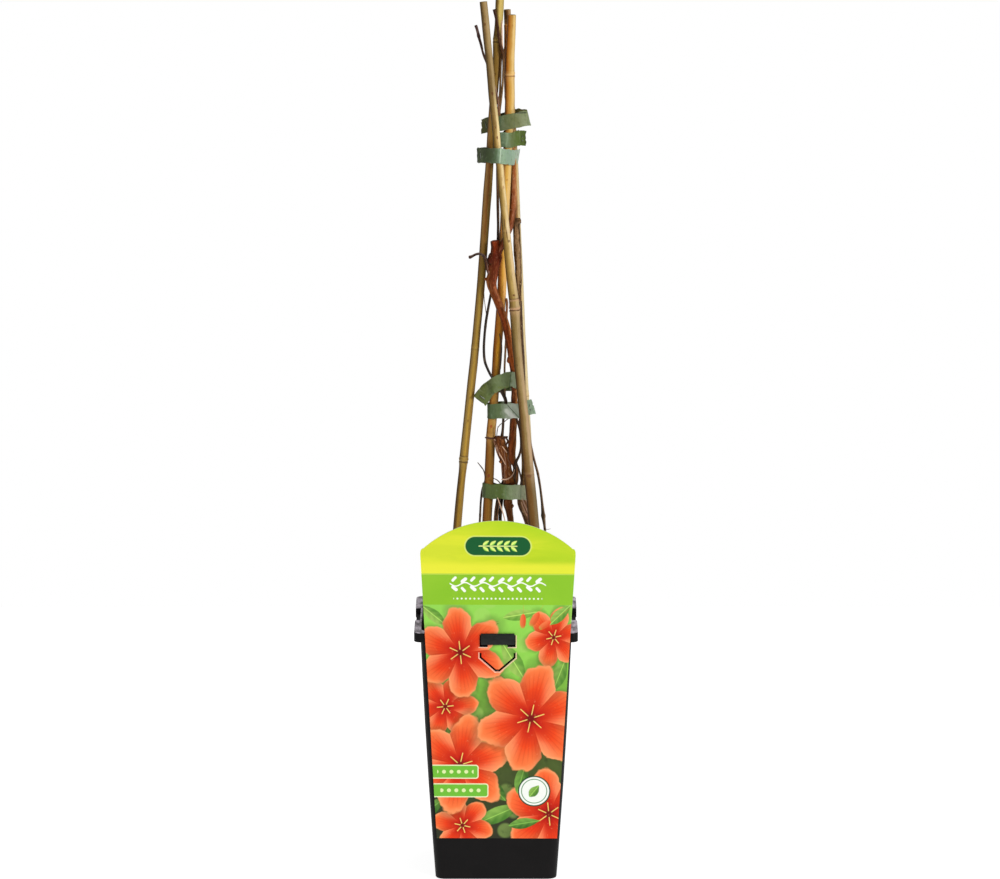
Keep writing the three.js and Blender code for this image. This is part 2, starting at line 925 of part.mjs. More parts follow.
function stapleHoles(tie) {
  const side = STAPLE.holeSide;
  const holes = [-1, 1].map((end) => {
    const geometry = new THREE.BoxGeometry(side, 2 * STAPLE_HALF, side);
    geometry.translate((end * (STAPLE.crown - STAPLE.wire)) / 2, 0, 0);
    geometry.applyMatrix4(stapleFrame(tie));
    return solidOf(geometry);
  });
  return wasm.Manifold.union(holes);
}

function wireSolid() {
  const rings = (count, radius) =>
    Array.from({ length: count + 1 }, (unused, i) => ({ u: i / count, radius }));
  const loopRings = rings(WIRE.loopSteps, WIRE.radius);
  const tailRings = rings(WIRE.tailSteps, WIRE.tailRadius);
  const loop = tube(curveThrough(WIRE.loop), loopRings, WIRE.sides);
  const tail = tube(curveThrough(WIRE.tail), tailRings, WIRE.sides);
  return solidOf(loop).add(solidOf(tail));
}

// ---------------------------------------------------------------------------------------------
// Pot and soil
// ---------------------------------------------------------------------------------------------

function roundedSquare(half, radius) {
  const shape = new THREE.Shape();
  const flat = half - radius;
  shape.moveTo(-flat, -half);
  shape.lineTo(flat, -half);
  shape.absarc(flat, -flat, radius, -Math.PI / 2, 0, false);
  shape.absarc(flat, flat, radius, 0, Math.PI / 2, false);
  shape.absarc(-flat, flat, radius, Math.PI / 2, Math.PI, false);
  shape.absarc(-flat, -flat, radius, Math.PI, 1.5 * Math.PI, false);
  return shape;
}

function squarePrism(half, radius, z0, z1) {
  const geometry = new THREE.ExtrudeGeometry(roundedSquare(half, radius), {
    depth: z1 - z0,
    bevelEnabled: false,
    curveSegments: CORNER_SEGMENTS,
  });
  geometry.translate(0, 0, z0);
  return solidOf(geometry);
}

function potHalfAt(height) {
  const slope = (POT.shoulderHalf - POT.footHalf) / POT.shoulderHeight;
  const straight = POT.footHalf + slope * height;
  const above = Math.min(height / POT.footRounding, 1);
  return straight - POT.footRounding * (1 - Math.sqrt(1 - (1 - above) ** 2));
}

// A prism with rounded corners whose half width follows the pot's wall, moved in by an inset.
function potPrism(heights, inset) {
  const last = heights.length - 1;
  const outline = roundedSquare(POT.shoulderHalf, POT.cornerRadius);
  const geometry = new THREE.ExtrudeGeometry(outline, {
    depth: last,
    steps: last,
    bevelEnabled: false,
    curveSegments: CORNER_SEGMENTS,
  });
  bend(geometry, (p) => {
    const height = heights[Math.round(p.z)];
    const scale = (potHalfAt(height) - inset) / POT.shoulderHalf;
    p.set(p.x * scale, p.y * scale, height);
  });
  return solidOf(geometry);
}

function drainHoles() {
  const middle = (DRAIN.innerRadius + DRAIN.outerRadius) / 2;
  const holes = [];
  for (let i = 0; i < DRAIN.holeCount; i += 1) {
    const angle = ((i + 0.5) * 2 * Math.PI) / DRAIN.holeCount;
    const x = middle * Math.cos(angle);
    const y = middle * Math.sin(angle);
    const place = { x, y, sides: DRAIN_SIDES };
    holes.push(disc(DRAIN.holeRadius, -1, POT.floor + DRAIN.raise + 1, place));
  }
  return wasm.Manifold.union(holes);
}

// One notch of the lip, made for the +X side: a stepped-down shelf between two end walls.
function notchCut() {
  const half = NOTCH.width / 2;
  const shelfTop = POT.height - NOTCH.depth;
  const inner = POT.shoulderHalf + LIP.thickness;
  const above = box(inner, LIP.half + 1, -half, half, shelfTop, POT.height + 1);
  const face = box(LIP.half - NOTCH.inset, LIP.half + 1, -half, half, 0, POT.height + 1);
  return above.add(face);
}

function notchShelf() {
  const half = NOTCH.width / 2;
  const shelfTop = POT.height - NOTCH.depth;
  const skirtBottom = POT.height - LIP.skirtHeight;
  const outer = LIP.half - NOTCH.inset;
  const inner = POT.shoulderHalf - LIP.thickness / 2;
  const shelf = box(inner, outer, -half, half, shelfTop - LIP.thickness, shelfTop);
  const skirt = box(outer - LIP.thickness, outer, -half, half, skirtBottom, shelfTop);
  const wallTop = POT.height - LIP.thickness / 2;
  const ends = [-1, 1].map((side) => {
    const edge = side * half;
    const y0 = Math.min(edge, edge + side * LIP.thickness);
    return box(inner, outer + NOTCH.inset / 2, y0, y0 + LIP.thickness, skirtBottom, wallTop);
  });
  return wasm.Manifold.union([shelf, skirt, ...ends]);
}

function hookSolid() {
  const half = HOOK.width / 2;
  const x0 = LABEL.centre - half;
  const x1 = LABEL.centre + half;
  const front = -LIP.half - HOOK.reach;
  const peg = box(x0, x1, front, -LIP.half + LIP.thickness / 2, HOOK.bottom, HOOK.seat);
  const lip = box(x0, x1, front, front + HOOK.lipThickness, HOOK.bottom, HOOK.top);
  return peg.add(lip);
}

function potSolid() {
  const rounding = POT.footRounding;
  const foot = POT.footSteps.map((share) => share * rounding);
  const outside = potPrism([...foot, POT.shoulderHeight, POT.height], 0);
  const inside = potPrism([POT.floor, rounding, POT.height + 1], POT.wall);
  const top = POT.floor + DRAIN.raise;
  const raised = ring(DRAIN.outerRadius + POT.wall, DRAIN.innerRadius - POT.wall, 1, top);
  const channel = ring(DRAIN.outerRadius, DRAIN.innerRadius, -1, DRAIN.raise);
  const skirtBottom = POT.height - LIP.skirtHeight;
  const flangeBottom = POT.height - LIP.thickness;
  const hollow = squarePrism(
    LIP.half - LIP.thickness,
    LIP.cornerRadius - LIP.thickness,
    skirtBottom - 1,
    flangeBottom,
  );
  const lip = squarePrism(LIP.half, LIP.cornerRadius, skirtBottom, POT.height).subtract(hollow);
  let rim = outside.add(lip);
  for (const quarter of [0, 1, 2]) {
    const turn = [0, 0, 90 * quarter];
    rim = rim.subtract(notchCut().rotate(turn)).add(notchShelf().rotate(turn));
  }
  return rim
    .add(hookSolid())
    .subtract(inside)
    .add(raised)
    .subtract(channel)
    .subtract(drainHoles());
}

// Height of the potting soil: a low mound round the crown, with crumbs in two sizes.
function soilHeightAt(x, y) {
  const { mound } = SOIL;
  const away = ((x - mound.x) ** 2 + (y - mound.y) ** 2) / mound.spread ** 2;
  let height = SOIL.surface + mound.height * Math.exp(-away);
  const wave = ([perX, perY, phase]) => Math.sin(perX * x + perY * y + phase);
  for (const ripple of SOIL_RIPPLES) {
    height += ripple.height * wave(ripple.first) * wave(ripple.second);
  }
  return height;
}

function soilSolid(standing) {
  const inset = POT.wall + CLEARANCE;
  const body = potPrism([POT.floor, POT.footRounding, POT.height], inset);
  const width = 2 * POT.shoulderHalf;
  const cells = SOIL.gridCells;
  const field = new THREE.BoxGeometry(width, width, 1, cells, cells, 1);
  bend(field, (p) => {
    p.z = p.z > 0 ? soilHeightAt(p.x, p.y) : POT.floor + CLEARANCE;
  });
  const outer = DRAIN.outerRadius + inset;
  const inner = DRAIN.innerRadius - inset;
  const step = ring(outer, inner, 0, POT.floor + DRAIN.raise + CLEARANCE);
  return body.intersect(solidOf(field)).subtract(step).subtract(standing);
}

// The plain holes that the canes and the vine's stock stand in.
function standingHoles() {
  const holes = Object.values(CANES).map(({ axis }) => {
    const [foot, ground, next] = axis;
    const share = (SOIL.surface + HOLE_RISE - ground[2]) / (next[2] - ground[2]);
    const above = ground.map((value, i) => THREE.MathUtils.lerp(value, next[i], share));
    const below = [foot[0], foot[1], foot[2] - CLEARANCE, foot[3]];
    const hole = { points: [below, ground, above], sides: CANE_SIDES };
    return solidOf(stemGeometry(hole, HOLE_GAP));
  });
  const crown = KNOTS.crown;
  const crownSize = crown.size.map((half) => half + HOLE_GAP);
  const crownHole = solidOf(knotGeometry({ at: crown.at, size: crownSize }));
  const [tip, ...stock] = STOCK.points;
  const lower = [tip[0], tip[1], tip[2] - HOLE_GAP, tip[3]];
  const stockHole = stemGeometry({ points: [lower, ...stock], sides: STOCK.sides }, HOLE_GAP);
  return wasm.Manifold.union([...holes, solidOf(stockHole), crownHole]);
}

// ---------------------------------------------------------------------------------------------
// Label
// ---------------------------------------------------------------------------------------------

// The label is drawn flat, x across and y up, with y = 0 level with the skirt's lower edge, which
// it leans on.
const LEAN_HEIGHT = POT.height - LIP.skirtHeight;

function labelShape() {
  const shape = new THREE.Shape();
  const bottom = LABEL.bottom - LEAN_HEIGHT;
  const arcCentre = LABEL.peak - LABEL.archRadius - LEAN_HEIGHT;
  const corner = LABEL.shoulderHalf;
  const reach = corner - LABEL.cornerFillet / 2;
  const arcAngle = Math.acos(reach / LABEL.archRadius);
  const arcEnd = arcCentre + LABEL.archRadius * Math.sin(arcAngle);
  const filletEnd = arcEnd - LABEL.cornerFillet;
  shape.moveTo(-LABEL.bottomHalf, bottom);
  shape.lineTo(LABEL.bottomHalf, bottom);
  shape.lineTo(corner, filletEnd);
  shape.quadraticCurveTo(corner, arcEnd, reach, arcEnd);
  shape.absarc(0, arcCentre, LABEL.archRadius, arcAngle, Math.PI - arcAngle, false);
  shape.quadraticCurveTo(-corner, arcEnd, -corner, filletEnd);
  shape.closePath();
  shape.holes.push(windowPath(), slitPath());
  return shape;
}

// The window that the label hangs by, with a low bump in its lower edge.
function windowPath() {
  const half = WINDOW.width / 2;
  const top = WINDOW.top - LEAN_HEIGHT;
  const bottom = WINDOW.bottom - LEAN_HEIGHT;
  const bump = WINDOW.bumpHalf;
  const bumpFoot = bump + WINDOW.bumpSlope;
  const path = new THREE.Path();
  path.moveTo(-half, top);
  path.lineTo(half, top);
  path.lineTo(half, bottom);
  path.lineTo(bumpFoot, bottom);
  path.lineTo(bump, bottom + WINDOW.bumpRise);
  path.lineTo(-bump, bottom + WINDOW.bumpRise);
  path.lineTo(-bumpFoot, bottom);
  path.lineTo(-half, bottom);
  path.closePath();
  return path;
}

// The slit that cuts the tongue free on its sides and at its tip.
function slitPath() {
  const path = new THREE.Path();
  const { half, tipHalf, slit } = TONGUE;
  const hinge = TONGUE.hinge - LEAN_HEIGHT;
  const shoulder = TONGUE.shoulder - LEAN_HEIGHT;
  const tip = TONGUE.tip - LEAN_HEIGHT;
  const innerHalf = half - slit;
  const innerTip = tipHalf - slit / 3;
  const innerShoulder = shoulder + slit / 2;
  path.moveTo(half, hinge);
  path.lineTo(half, shoulder);
  path.lineTo(tipHalf, tip);
  path.lineTo(-tipHalf, tip);
  path.lineTo(-half, shoulder);
  path.lineTo(-half, hinge);
  path.lineTo(-innerHalf, hinge);
  path.lineTo(-innerHalf, innerShoulder);
  path.lineTo(-innerTip, tip + slit);
  path.lineTo(innerTip, tip + slit);
  path.lineTo(innerHalf, innerShoulder);
  path.lineTo(innerHalf, hinge);
  path.closePath();
  return path;
}

// The tongue inside the slit is pressed back a little, towards the pot.
function pressTongue(p) {
  const { hinge, shoulder, tip, half, tipHalf, slit } = TONGUE;
  const height = p.y + LEAN_HEIGHT;
  const narrowing = THREE.MathUtils.clamp((shoulder - height) / (shoulder - tip), 0, 1);
  const slitMiddle = THREE.MathUtils.lerp(half, tipHalf, narrowing) - slit / 2;
  const fall = (hinge - height) / (hinge - tip);
  if (Math.abs(p.x) < slitMiddle && fall > 0 && fall < 1) p.z -= TONGUE.bend * fall;
}

function labelGeometry() {
  const geometry = new THREE.ExtrudeGeometry(labelShape(), {
    depth: LABEL.thickness,
    bevelEnabled: false,
    curveSegments: ARCH_SEGMENTS,
  });
  bend(geometry, pressTongue);
  geometry.rotateZ(-THREE.MathUtils.degToRad(LABEL.turnDegrees));
  geometry.rotateX(Math.PI / 2 + THREE.MathUtils.degToRad(LABEL.leanDegrees));
  geometry.translate(LABEL.centre, -LIP.half - LABEL.restGap, LEAN_HEIGHT);
  return geometryOf(solidOf(geometry));
}

// ---------------------------------------------------------------------------------------------
// The part
// ---------------------------------------------------------------------------------------------

const plant = new THREE.Group();

function addMesh(name, geometry, finish) {
  const mesh = new THREE.Mesh(geometry, new THREE.MeshStandardMaterial(finish));
  mesh.name = name;
  plant.add(mesh);
}

addMesh("pot", geometryOf(potSolid()), FINISH.pot);
addMesh("soil", geometryOf(soilSolid(standingHoles())), FINISH.soil);
for (const [name, cane] of Object.entries(CANES)) {
  addMesh(name, caneGeometry(cane), cane.finish);
}
addMesh("vine", geometryOf(vineSolid()), FINISH.bark);
for (const [name, tie] of Object.entries(TIES)) {
  const strip = solidOf(stripGeometry(tieCurve(tie)));
  addMesh(name, geometryOf(strip.subtract(stapleHoles(tie))), FINISH.tape);
  addMesh(name.replace("tie", "staple"), stapleGeometry(tie), FINISH.steel);
}
addMesh("wire_tie", geometryOf(wireSolid()), FINISH.wire);
addMesh("label", labelGeometry(), FINISH.label);

export default plant;
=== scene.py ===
"""The looks of a trumpet vine in its nursery pot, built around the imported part.

The tables are in millimetres, as in the part's source, and meshes are made in metres. The label
faces -Y, +X is to its right and the pot stands on z = 0.
"""

import math

import bmesh
import bpy
import numpy as np
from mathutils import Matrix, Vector
from mathutils.geometry import delaunay_2d_cdt


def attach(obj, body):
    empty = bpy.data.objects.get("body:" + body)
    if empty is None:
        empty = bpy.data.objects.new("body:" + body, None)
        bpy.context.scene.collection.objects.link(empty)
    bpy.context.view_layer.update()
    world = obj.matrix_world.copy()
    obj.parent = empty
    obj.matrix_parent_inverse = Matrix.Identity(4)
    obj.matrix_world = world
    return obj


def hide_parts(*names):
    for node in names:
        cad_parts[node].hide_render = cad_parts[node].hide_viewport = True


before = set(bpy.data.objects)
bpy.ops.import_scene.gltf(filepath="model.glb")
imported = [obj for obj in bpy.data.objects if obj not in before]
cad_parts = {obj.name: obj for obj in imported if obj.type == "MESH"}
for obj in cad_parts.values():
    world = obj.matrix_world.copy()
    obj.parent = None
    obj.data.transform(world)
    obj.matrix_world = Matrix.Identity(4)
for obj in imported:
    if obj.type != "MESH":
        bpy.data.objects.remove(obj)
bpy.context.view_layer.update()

MM = 0.001

# ------------------------------------------------------------------------------------------------
# Camera, floor and light
# ------------------------------------------------------------------------------------------------

CAMERA = {
    "target": (0.0032, 0.0, 0.3553),
    "distance": 4.0,
    "elevation": math.radians(11.5),
    "lens": 177.9,
    "sensor": 36.0,
}
FLOOR_HALF = 0.9
FLOOR_NEAR = 0.1
FLOOR_FAR = 0.6
WORLD_LIGHT = 0.3
WORLD_SEEN = 1.0
FLOOR_DIM = 0.1

# Each soft box: place, what it points at, size and power.
SOFT_BOXES = {
    "key": {"at": (1.7, -1.9, 1.3), "to": (0, 0, 0.4), "size": 0.8, "power": 42},
    "fill": {"at": (-1.4, -2.6, 0.9), "to": (0, 0, 0.35), "size": 1.4, "power": 6},
    "top": {"at": (0.2, 0.6, 2.6), "to": (0, 0, 0.3), "size": 1.6, "power": 12},
    "rim": {"at": (-1.6, 1.8, 1.2), "to": (0, 0, 0.4), "size": 1.2, "power": 8},
}


def link(obj):
    bpy.context.scene.collection.objects.link(obj)
    return obj


def aim(obj, place, target):
    obj.location = place
    back = Vector(place) - Vector(target)
    obj.rotation_mode = "QUATERNION"
    obj.rotation_quaternion = back.to_track_quat("Z", "Y")


def make_camera():
    data = bpy.data.cameras.new("camera")
    data.lens = CAMERA["lens"]
    data.sensor_width = CAMERA["sensor"]
    data.clip_end = 100
    camera = link(bpy.data.objects.new("camera", data))
    target = Vector(CAMERA["target"])
    lift = CAMERA["elevation"]
    back = Vector((0, -math.cos(lift), math.sin(lift)))
    aim(camera, target + back * CAMERA["distance"], target)
    bpy.context.scene.camera = camera


def make_world():
    """An even white room, seen white by the camera and a little dimmer by the object."""
    world = bpy.data.worlds.new("room")
    world.use_nodes = True
    tree = world.node_tree
    background = tree.nodes["Background"]
    ray = tree.nodes.new("ShaderNodeLightPath")
    strength = tree.nodes.new("ShaderNodeMapRange")
    strength.inputs["To Min"].default_value = WORLD_LIGHT
    strength.inputs["To Max"].default_value = WORLD_SEEN
    tree.links.new(ray.outputs["Is Camera Ray"], strength.inputs["Value"])
    tree.links.new(strength.outputs["Result"], background.inputs["Strength"])
    background.inputs["Color"].default_value = (1, 1, 1, 1)
    bpy.context.scene.world = world


def make_lights():
    for name, box in SOFT_BOXES.items():
        data = bpy.data.lights.new(name, "AREA")
        data.shape = "DISK"
        data.size = box["size"]
        data.energy = box["power"]
        aim(link(bpy.data.objects.new(name, data)), box["at"], box["to"])


def make_floor():
    mesh = bpy.data.meshes.new("floor")
    corners = [(-1, -1), (1, -1), (1, 1), (-1, 1)]
    mesh.from_pydata([(x * FLOOR_HALF, y * FLOOR_HALF, 0) for x, y in corners], [], [(0, 1, 2, 3)])
    floor = link(bpy.data.objects.new("floor", mesh))
    look = Look("floor_pale")
    look.set("Base Color", (0.3, 0.3, 0.3, 1))
    look.set("Roughness", 0.9)
    look.set("Specular IOR Level", 0.0)
    look.set("Emission Color", (1, 1, 1, 1))
    x, y, _ = look.split(look.node("ShaderNodeTexCoord").outputs["Object"])
    away = look.smooth(FLOOR_NEAR, FLOOR_FAR, look.far(x, y))
    look.set("Emission Strength", away * FLOOR_DIM + (1 - FLOOR_DIM))
    mesh.materials.append(look.material)


# ------------------------------------------------------------------------------------------------
# Materials: nodes by short calls
# ------------------------------------------------------------------------------------------------


def linear(colour):
    """A display colour, 0 to 255, as the linear one that a shader takes. A socket stays itself."""
    if isinstance(colour, bpy.types.NodeSocket):
        return colour
    shares = [c / 255 for c in colour]
    return (*(c / 12.92 if c <= 0.04045 else ((c + 0.055) / 1.055) ** 2.4 for c in shares), 1.0)


class Num:
    """A number from a node, which adds, subtracts, multiplies and divides by making more nodes."""

    def __init__(self, look, socket):
        self.look = look
        self.socket = socket

    def __add__(self, other):
        return self.look.math("ADD", self, other)

    def __radd__(self, other):
        return self.look.math("ADD", other, self)

    def __sub__(self, other):
        return self.look.math("SUBTRACT", self, other)

    def __rsub__(self, other):
        return self.look.math("SUBTRACT", other, self)

    def __mul__(self, other):
        return self.look.math("MULTIPLY", self, other)

    def __rmul__(self, other):
        return self.look.math("MULTIPLY", other, self)

    def __truediv__(self, other):
        return self.look.math("DIVIDE", self, other)

    def __pow__(self, other):
        return self.look.math("POWER", self, other)


class Look:
    """One material, painted in layers. The calls add nodes and give back a Num, or a socket for a
    colour. A colour that goes in is such a socket or a display colour, 0 to 255."""

    def __init__(self, name, colour=None):
        self.material = bpy.data.materials.new(name)
        self.material.use_nodes = True
        self.tree = self.material.node_tree
        self.shader = self.tree.nodes["Principled BSDF"]
        self.colour = colour

    def feed(self, socket, value):
        if isinstance(value, Num):
            value = value.socket
        if isinstance(value, bpy.types.NodeSocket):
            self.tree.links.new(value, socket)
        else:
            socket.default_value = value

    def node(self, kind, values=(), **settings):
        node = self.tree.nodes.new(kind)
        for key, value in settings.items():
            setattr(node, key, value)
        for key, value in dict(values).items():
            self.feed(node.inputs[key], value)
        return node

    def set(self, name, value):
        self.feed(self.shader.inputs[name], value)

    def lay(self, share, colour, blend="MIX"):
        """Paints over what is there, in full where the share is 1."""
        self.colour = self.mix(share, self.colour, colour, blend)

    def surface(self, roughness, specular=0.5):
        """Ends the painting, and says how the surface shines."""
        self.set("Base Color", linear(self.colour))
        self.set("Roughness", roughness)
        self.set("Specular IOR Level", specular)

    def math(self, operation, *values):
        node = self.node("ShaderNodeMath", dict(enumerate(values)), operation=operation)
        return Num(self, node.outputs[0])

    def sin(self, value):
        return self.math("SINE", value)

    def root(self, value):
        return self.math("SQRT", value)

    def size(self, value):
        return self.math("ABSOLUTE", value)

    def least(self, first, second):
        return self.math("MINIMUM", first, second)

    def most(self, first, second):
        return self.math("MAXIMUM", first, second)

    def far(self, x, y):
        return self.root(x * x + y * y)

    def line_distance(self, x, y, start, end):
        """How far (x, y) is from the straight piece of line between two places."""
        dx, dy = end[0] - start[0], end[1] - start[1]
        long = math.hypot(dx, dy)
        along = (x - start[0]) * (dx / long) + (y - start[1]) * (dy / long)
        across = (y - start[1]) * (dx / long) - (x - start[0]) * (dy / long)
        past = self.most(self.size(along - long / 2) - long / 2, 0.0)
        return self.far(past, across)

    def smooth(self, low, high, value):
        """0 below low, 1 above high, with a soft step between; low may be the larger."""
        values = {"Value": value, "From Min": low, "From Max": high}
        node = self.node("ShaderNodeMapRange", values, interpolation_type="SMOOTHSTEP")
        return Num(self, node.outputs["Result"])

    def attribute(self, name):
        return self.node("ShaderNodeAttribute", attribute_name=name).outputs["Vector"]

    def place(self):
        """Where the spot is, in millimetres."""
        where = self.node("ShaderNodeTexCoord").outputs["Object"]
        return self.scaled(where, (1000, 1000, 1000))

    def scaled(self, vector, factors):
        values = {0: vector, 1: factors}
        return self.node("ShaderNodeVectorMath", values, operation="MULTIPLY").outputs[0]

    def split(self, vector):
        node = self.node("ShaderNodeSeparateXYZ", {0: vector})
        return [Num(self, socket) for socket in node.outputs]

    def join(self, x, y, z):
        return self.node("ShaderNodeCombineXYZ", {0: x, 1: y, 2: z}).outputs[0]

    def noise(self, vector, scale, detail=2.0, roughness=0.5, distortion=0.0):
        values = {
            "Vector": vector,
            "Scale": scale,
            "Detail": detail,
            "Roughness": roughness,
            "Distortion": distortion,
        }
        return Num(self, self.node("ShaderNodeTexNoise", values).outputs[0])

    def cells(self, vector, scale, **settings):
        """Distance to the nearest of many scattered points."""
        values = {"Vector": vector, "Scale": scale}
        return Num(self, self.node("ShaderNodeTexVoronoi", values, **settings).outputs["Distance"])

    def grain(self, skin, length, scale, detail, roughness=0.5, distortion=0.0):
        """Noise that is drawn out along the skin, the more so the smaller the length."""
        return self.noise(self.scaled(skin, (1, 1, length)), scale, detail, roughness, distortion)

    def ramp(self, value, stops):
        """A colour along a row of (place, colour) stops, with places from 0 to 1."""
        node = self.node("ShaderNodeValToRGB", {0: value})
        elements = node.color_ramp.elements
        for _ in stops[2:]:
            elements.new(0.5)
        for element, (place, colour) in zip(elements, stops):
            element.position = place
            element.color = linear(colour)
        return node.outputs["Color"]

    def along(self, value, stops):
        """The same, with places in the value's own measure."""
        low, high = stops[0][0], stops[-1][0]
        shares = [((place - low) / (high - low), colour) for place, colour in stops]
        return self.ramp((value - low) / (high - low), shares)

    def mix(self, share, first, second, blend="MIX"):
        node = self.node("ShaderNodeMix", data_type="RGBA", blend_type=blend)
        for index, value in ((0, share), (6, linear(first)), (7, linear(second))):
            self.feed(node.inputs[index], value)
        return node.outputs[2]

    def bump(self, height, strength, depth):
        """Fine relief: height runs from 0 to 1 over a depth in millimetres."""
        values = {"Height": height, "Strength": strength, "Distance": depth * MM}
        self.set("Normal", self.node("ShaderNodeBump", values).outputs["Normal"])


# ------------------------------------------------------------------------------------------------
# Meshes: smooth lines, tubes and pieces
# ------------------------------------------------------------------------------------------------

LATTICE_PRIMES = np.array([73856093, 19349663, 83492791], dtype=np.int64)
LOW_BITS = 0xFFFFFFFF


def lattice(cell, seed):
    """A scrambled number from -1 to 1 for each whole-number cell."""
    mixed = (cell * LATTICE_PRIMES).sum(axis=-1) + seed * 7919
    mixed = (mixed ^ (mixed >> 15)) & LOW_BITS
    mixed = (mixed * 2246822519) & LOW_BITS
    mixed = ((mixed ^ (mixed >> 13)) * 668265263) & LOW_BITS
    return ((mixed ^ (mixed >> 16)) & 0xFFFF) / 32767.5 - 1


def rough(points, size, seed=0):
    """Smooth noise from -1 to 1 at each point, with bumps of about that size."""
    scaled = np.asarray(points, float) / size
    base = np.floor(scaled)
    share = scaled - base
    share = share * share * (3 - 2 * share)
    cell = base.astype(np.int64)
    total = np.zeros(scaled.shape[:-1])
    for corner in np.ndindex(2, 2, 2):
        weight = np.prod(np.where(corner, share, 1 - share), axis=-1)
        total += weight * lattice(cell + np.array(corner), seed)
    return total


def hump(value, at, width):
    """1 at a place, and falling away to 0 on both sides of it."""
    return np.exp(-(((value - at) / width) ** 2))


def unit(vectors):
    return vectors / np.linalg.norm(vectors, axis=-1, keepdims=True)


class Path:
    """A smooth line through [x, y, z] or [x, y, z, radius] rows, known by its length along."""

    STEPS = 24

    def __init__(self, rows):
        rows = [list(row) + [1.0] * (4 - len(row)) for row in rows]
        rows = np.array(rows, float)
        knots = rows[:, :3]
        first, last = 2 * knots[0] - knots[1], 2 * knots[-1] - knots[-2]
        padded = np.vstack([first, knots, last])
        share = np.arange(self.STEPS)[:, None] / self.STEPS
        line = [self.stretch(padded[i : i + 4], share) for i in range(len(knots) - 1)]
        self.points = np.vstack([*line, knots[-1:]])
        lengths = np.linalg.norm(np.diff(self.points, axis=0), axis=1)
        self.along = np.concatenate([[0], np.cumsum(lengths)])
        self.total = self.along[-1]
        place = np.arange(len(self.points)) / self.STEPS
        self.radii = np.interp(place, np.arange(len(rows)), rows[:, 3])

    @staticmethod
    def stretch(four, share):
        """Points between the middle two of four knots, on a centripetal Catmull-Rom curve."""
        p0, p1, p2, p3 = four
        d0, d1, d2 = np.sqrt(np.linalg.norm(np.diff(four, axis=0), axis=1))
        start = ((p1 - p0) / d0 - (p2 - p0) / (d0 + d1) + (p2 - p1) / d1) * d1
        end = ((p2 - p1) / d1 - (p3 - p1) / (d1 + d2) + (p3 - p2) / d2) * d1
        square = 3 * (p2 - p1) - 2 * start - end
        cube = 2 * (p1 - p2) + start + end
        return p1 + start * share + square * share**2 + cube * share**3

    def at(self, along):
        """Points, radii and unit directions at lengths along the line."""
        spots = np.stack([np.interp(along, self.along, self.points[:, i]) for i in range(3)], -1)
        gap = 0.004 * self.total
        ahead = np.stack(
            [
                np.interp(np.minimum(along + gap, self.total), self.along, self.points[:, i])
                - np.interp(np.maximum(along - gap, 0), self.along, self.points[:, i])
                for i in range(3)
            ],
            -1,
        )
        return spots, np.interp(along, self.along, self.radii), unit(ahead)

    def along_at_height(self, height):
        return np.interp(height, self.points[:, 2], self.along)


def ring_frames(ahead, carried):
    """Two unit vectors square to each direction: one towards +X, the other towards -Y. Carried
    frames start so and are then passed along the line, which suits one that winds."""
    right = np.array([1.0, 0.0, 0.0])
    if carried and abs(ahead[0][0]) > 0.9:
        right = np.array([0.0, -1.0, 0.0])
    side = np.empty_like(ahead)
    last = right
    for i, direction in enumerate(ahead):
        start = last if carried else right
        across = start - direction * (start @ direction)
        last = across / np.linalg.norm(across)
        side[i] = last
    return side, np.cross(side, ahead)


# The rings past a tube's end, each as its share of the radius and how far out it is in radii.
ROUND = ((0.62, 0.17),)
POINTED = ((0.7, 0.5), (0.3, 1.0))
FLAT = ()


def tube(rows, sides=12, step=2.0, relief=None, carried=True, stations=None, ends=(ROUND, ROUND)):
    """A closed tube along a line. relief(skin, along, radius) adds to the radius. skin is the
    surface laid straight: x and y round it and z along it."""
    path = rows if isinstance(rows, Path) else Path(rows)
    if stations is None:
        stations = np.linspace(0, path.total, max(4, int(path.total / step) + 1))
    centre, radius, ahead = path.at(stations)
    side, front = ring_frames(ahead, carried)
    angle = np.arange(sides) * 2 * math.pi / sides
    cos, sin = np.cos(angle), np.sin(angle)
    skin = np.stack(
        [radius[:, None] * cos, radius[:, None] * sin, np.repeat(stations[:, None], sides, 1)], -1
    )
    reach = np.repeat(radius[:, None], sides, 1)
    if relief:
        reach = reach + relief(skin, stations[:, None], radius[:, None])
    outward = cos[None, :, None] * side[:, None] + sin[None, :, None] * front[:, None]
    rings = centre[:, None] + reach[..., None] * outward
    turn = np.stack([np.tile(cos, (len(stations), 1)), np.tile(sin, (len(stations), 1))], -1)
    before = end_rings(rings[0], skin[0], turn[0], centre[0], -ahead[0] * radius[0], ends[0])
    after = end_rings(rings[-1], skin[-1], turn[-1], centre[-1], ahead[-1] * radius[-1], ends[1])
    fields = [
        np.stack([*(ring[i] for ring in reversed(before)), *field, *(ring[i] for ring in after)])
        for i, field in enumerate((rings, skin, turn))
    ]
    return close_rings(*fields)


def end_rings(ring, skin, turn, centre, outward, shares):
    """Smaller rings past an end, as (points, skin, turn) each."""
    return [
        (centre + (ring - centre) * share + outward * shift, skin * (share, share, 1), turn * share)
        for share, shift in shares
    ]


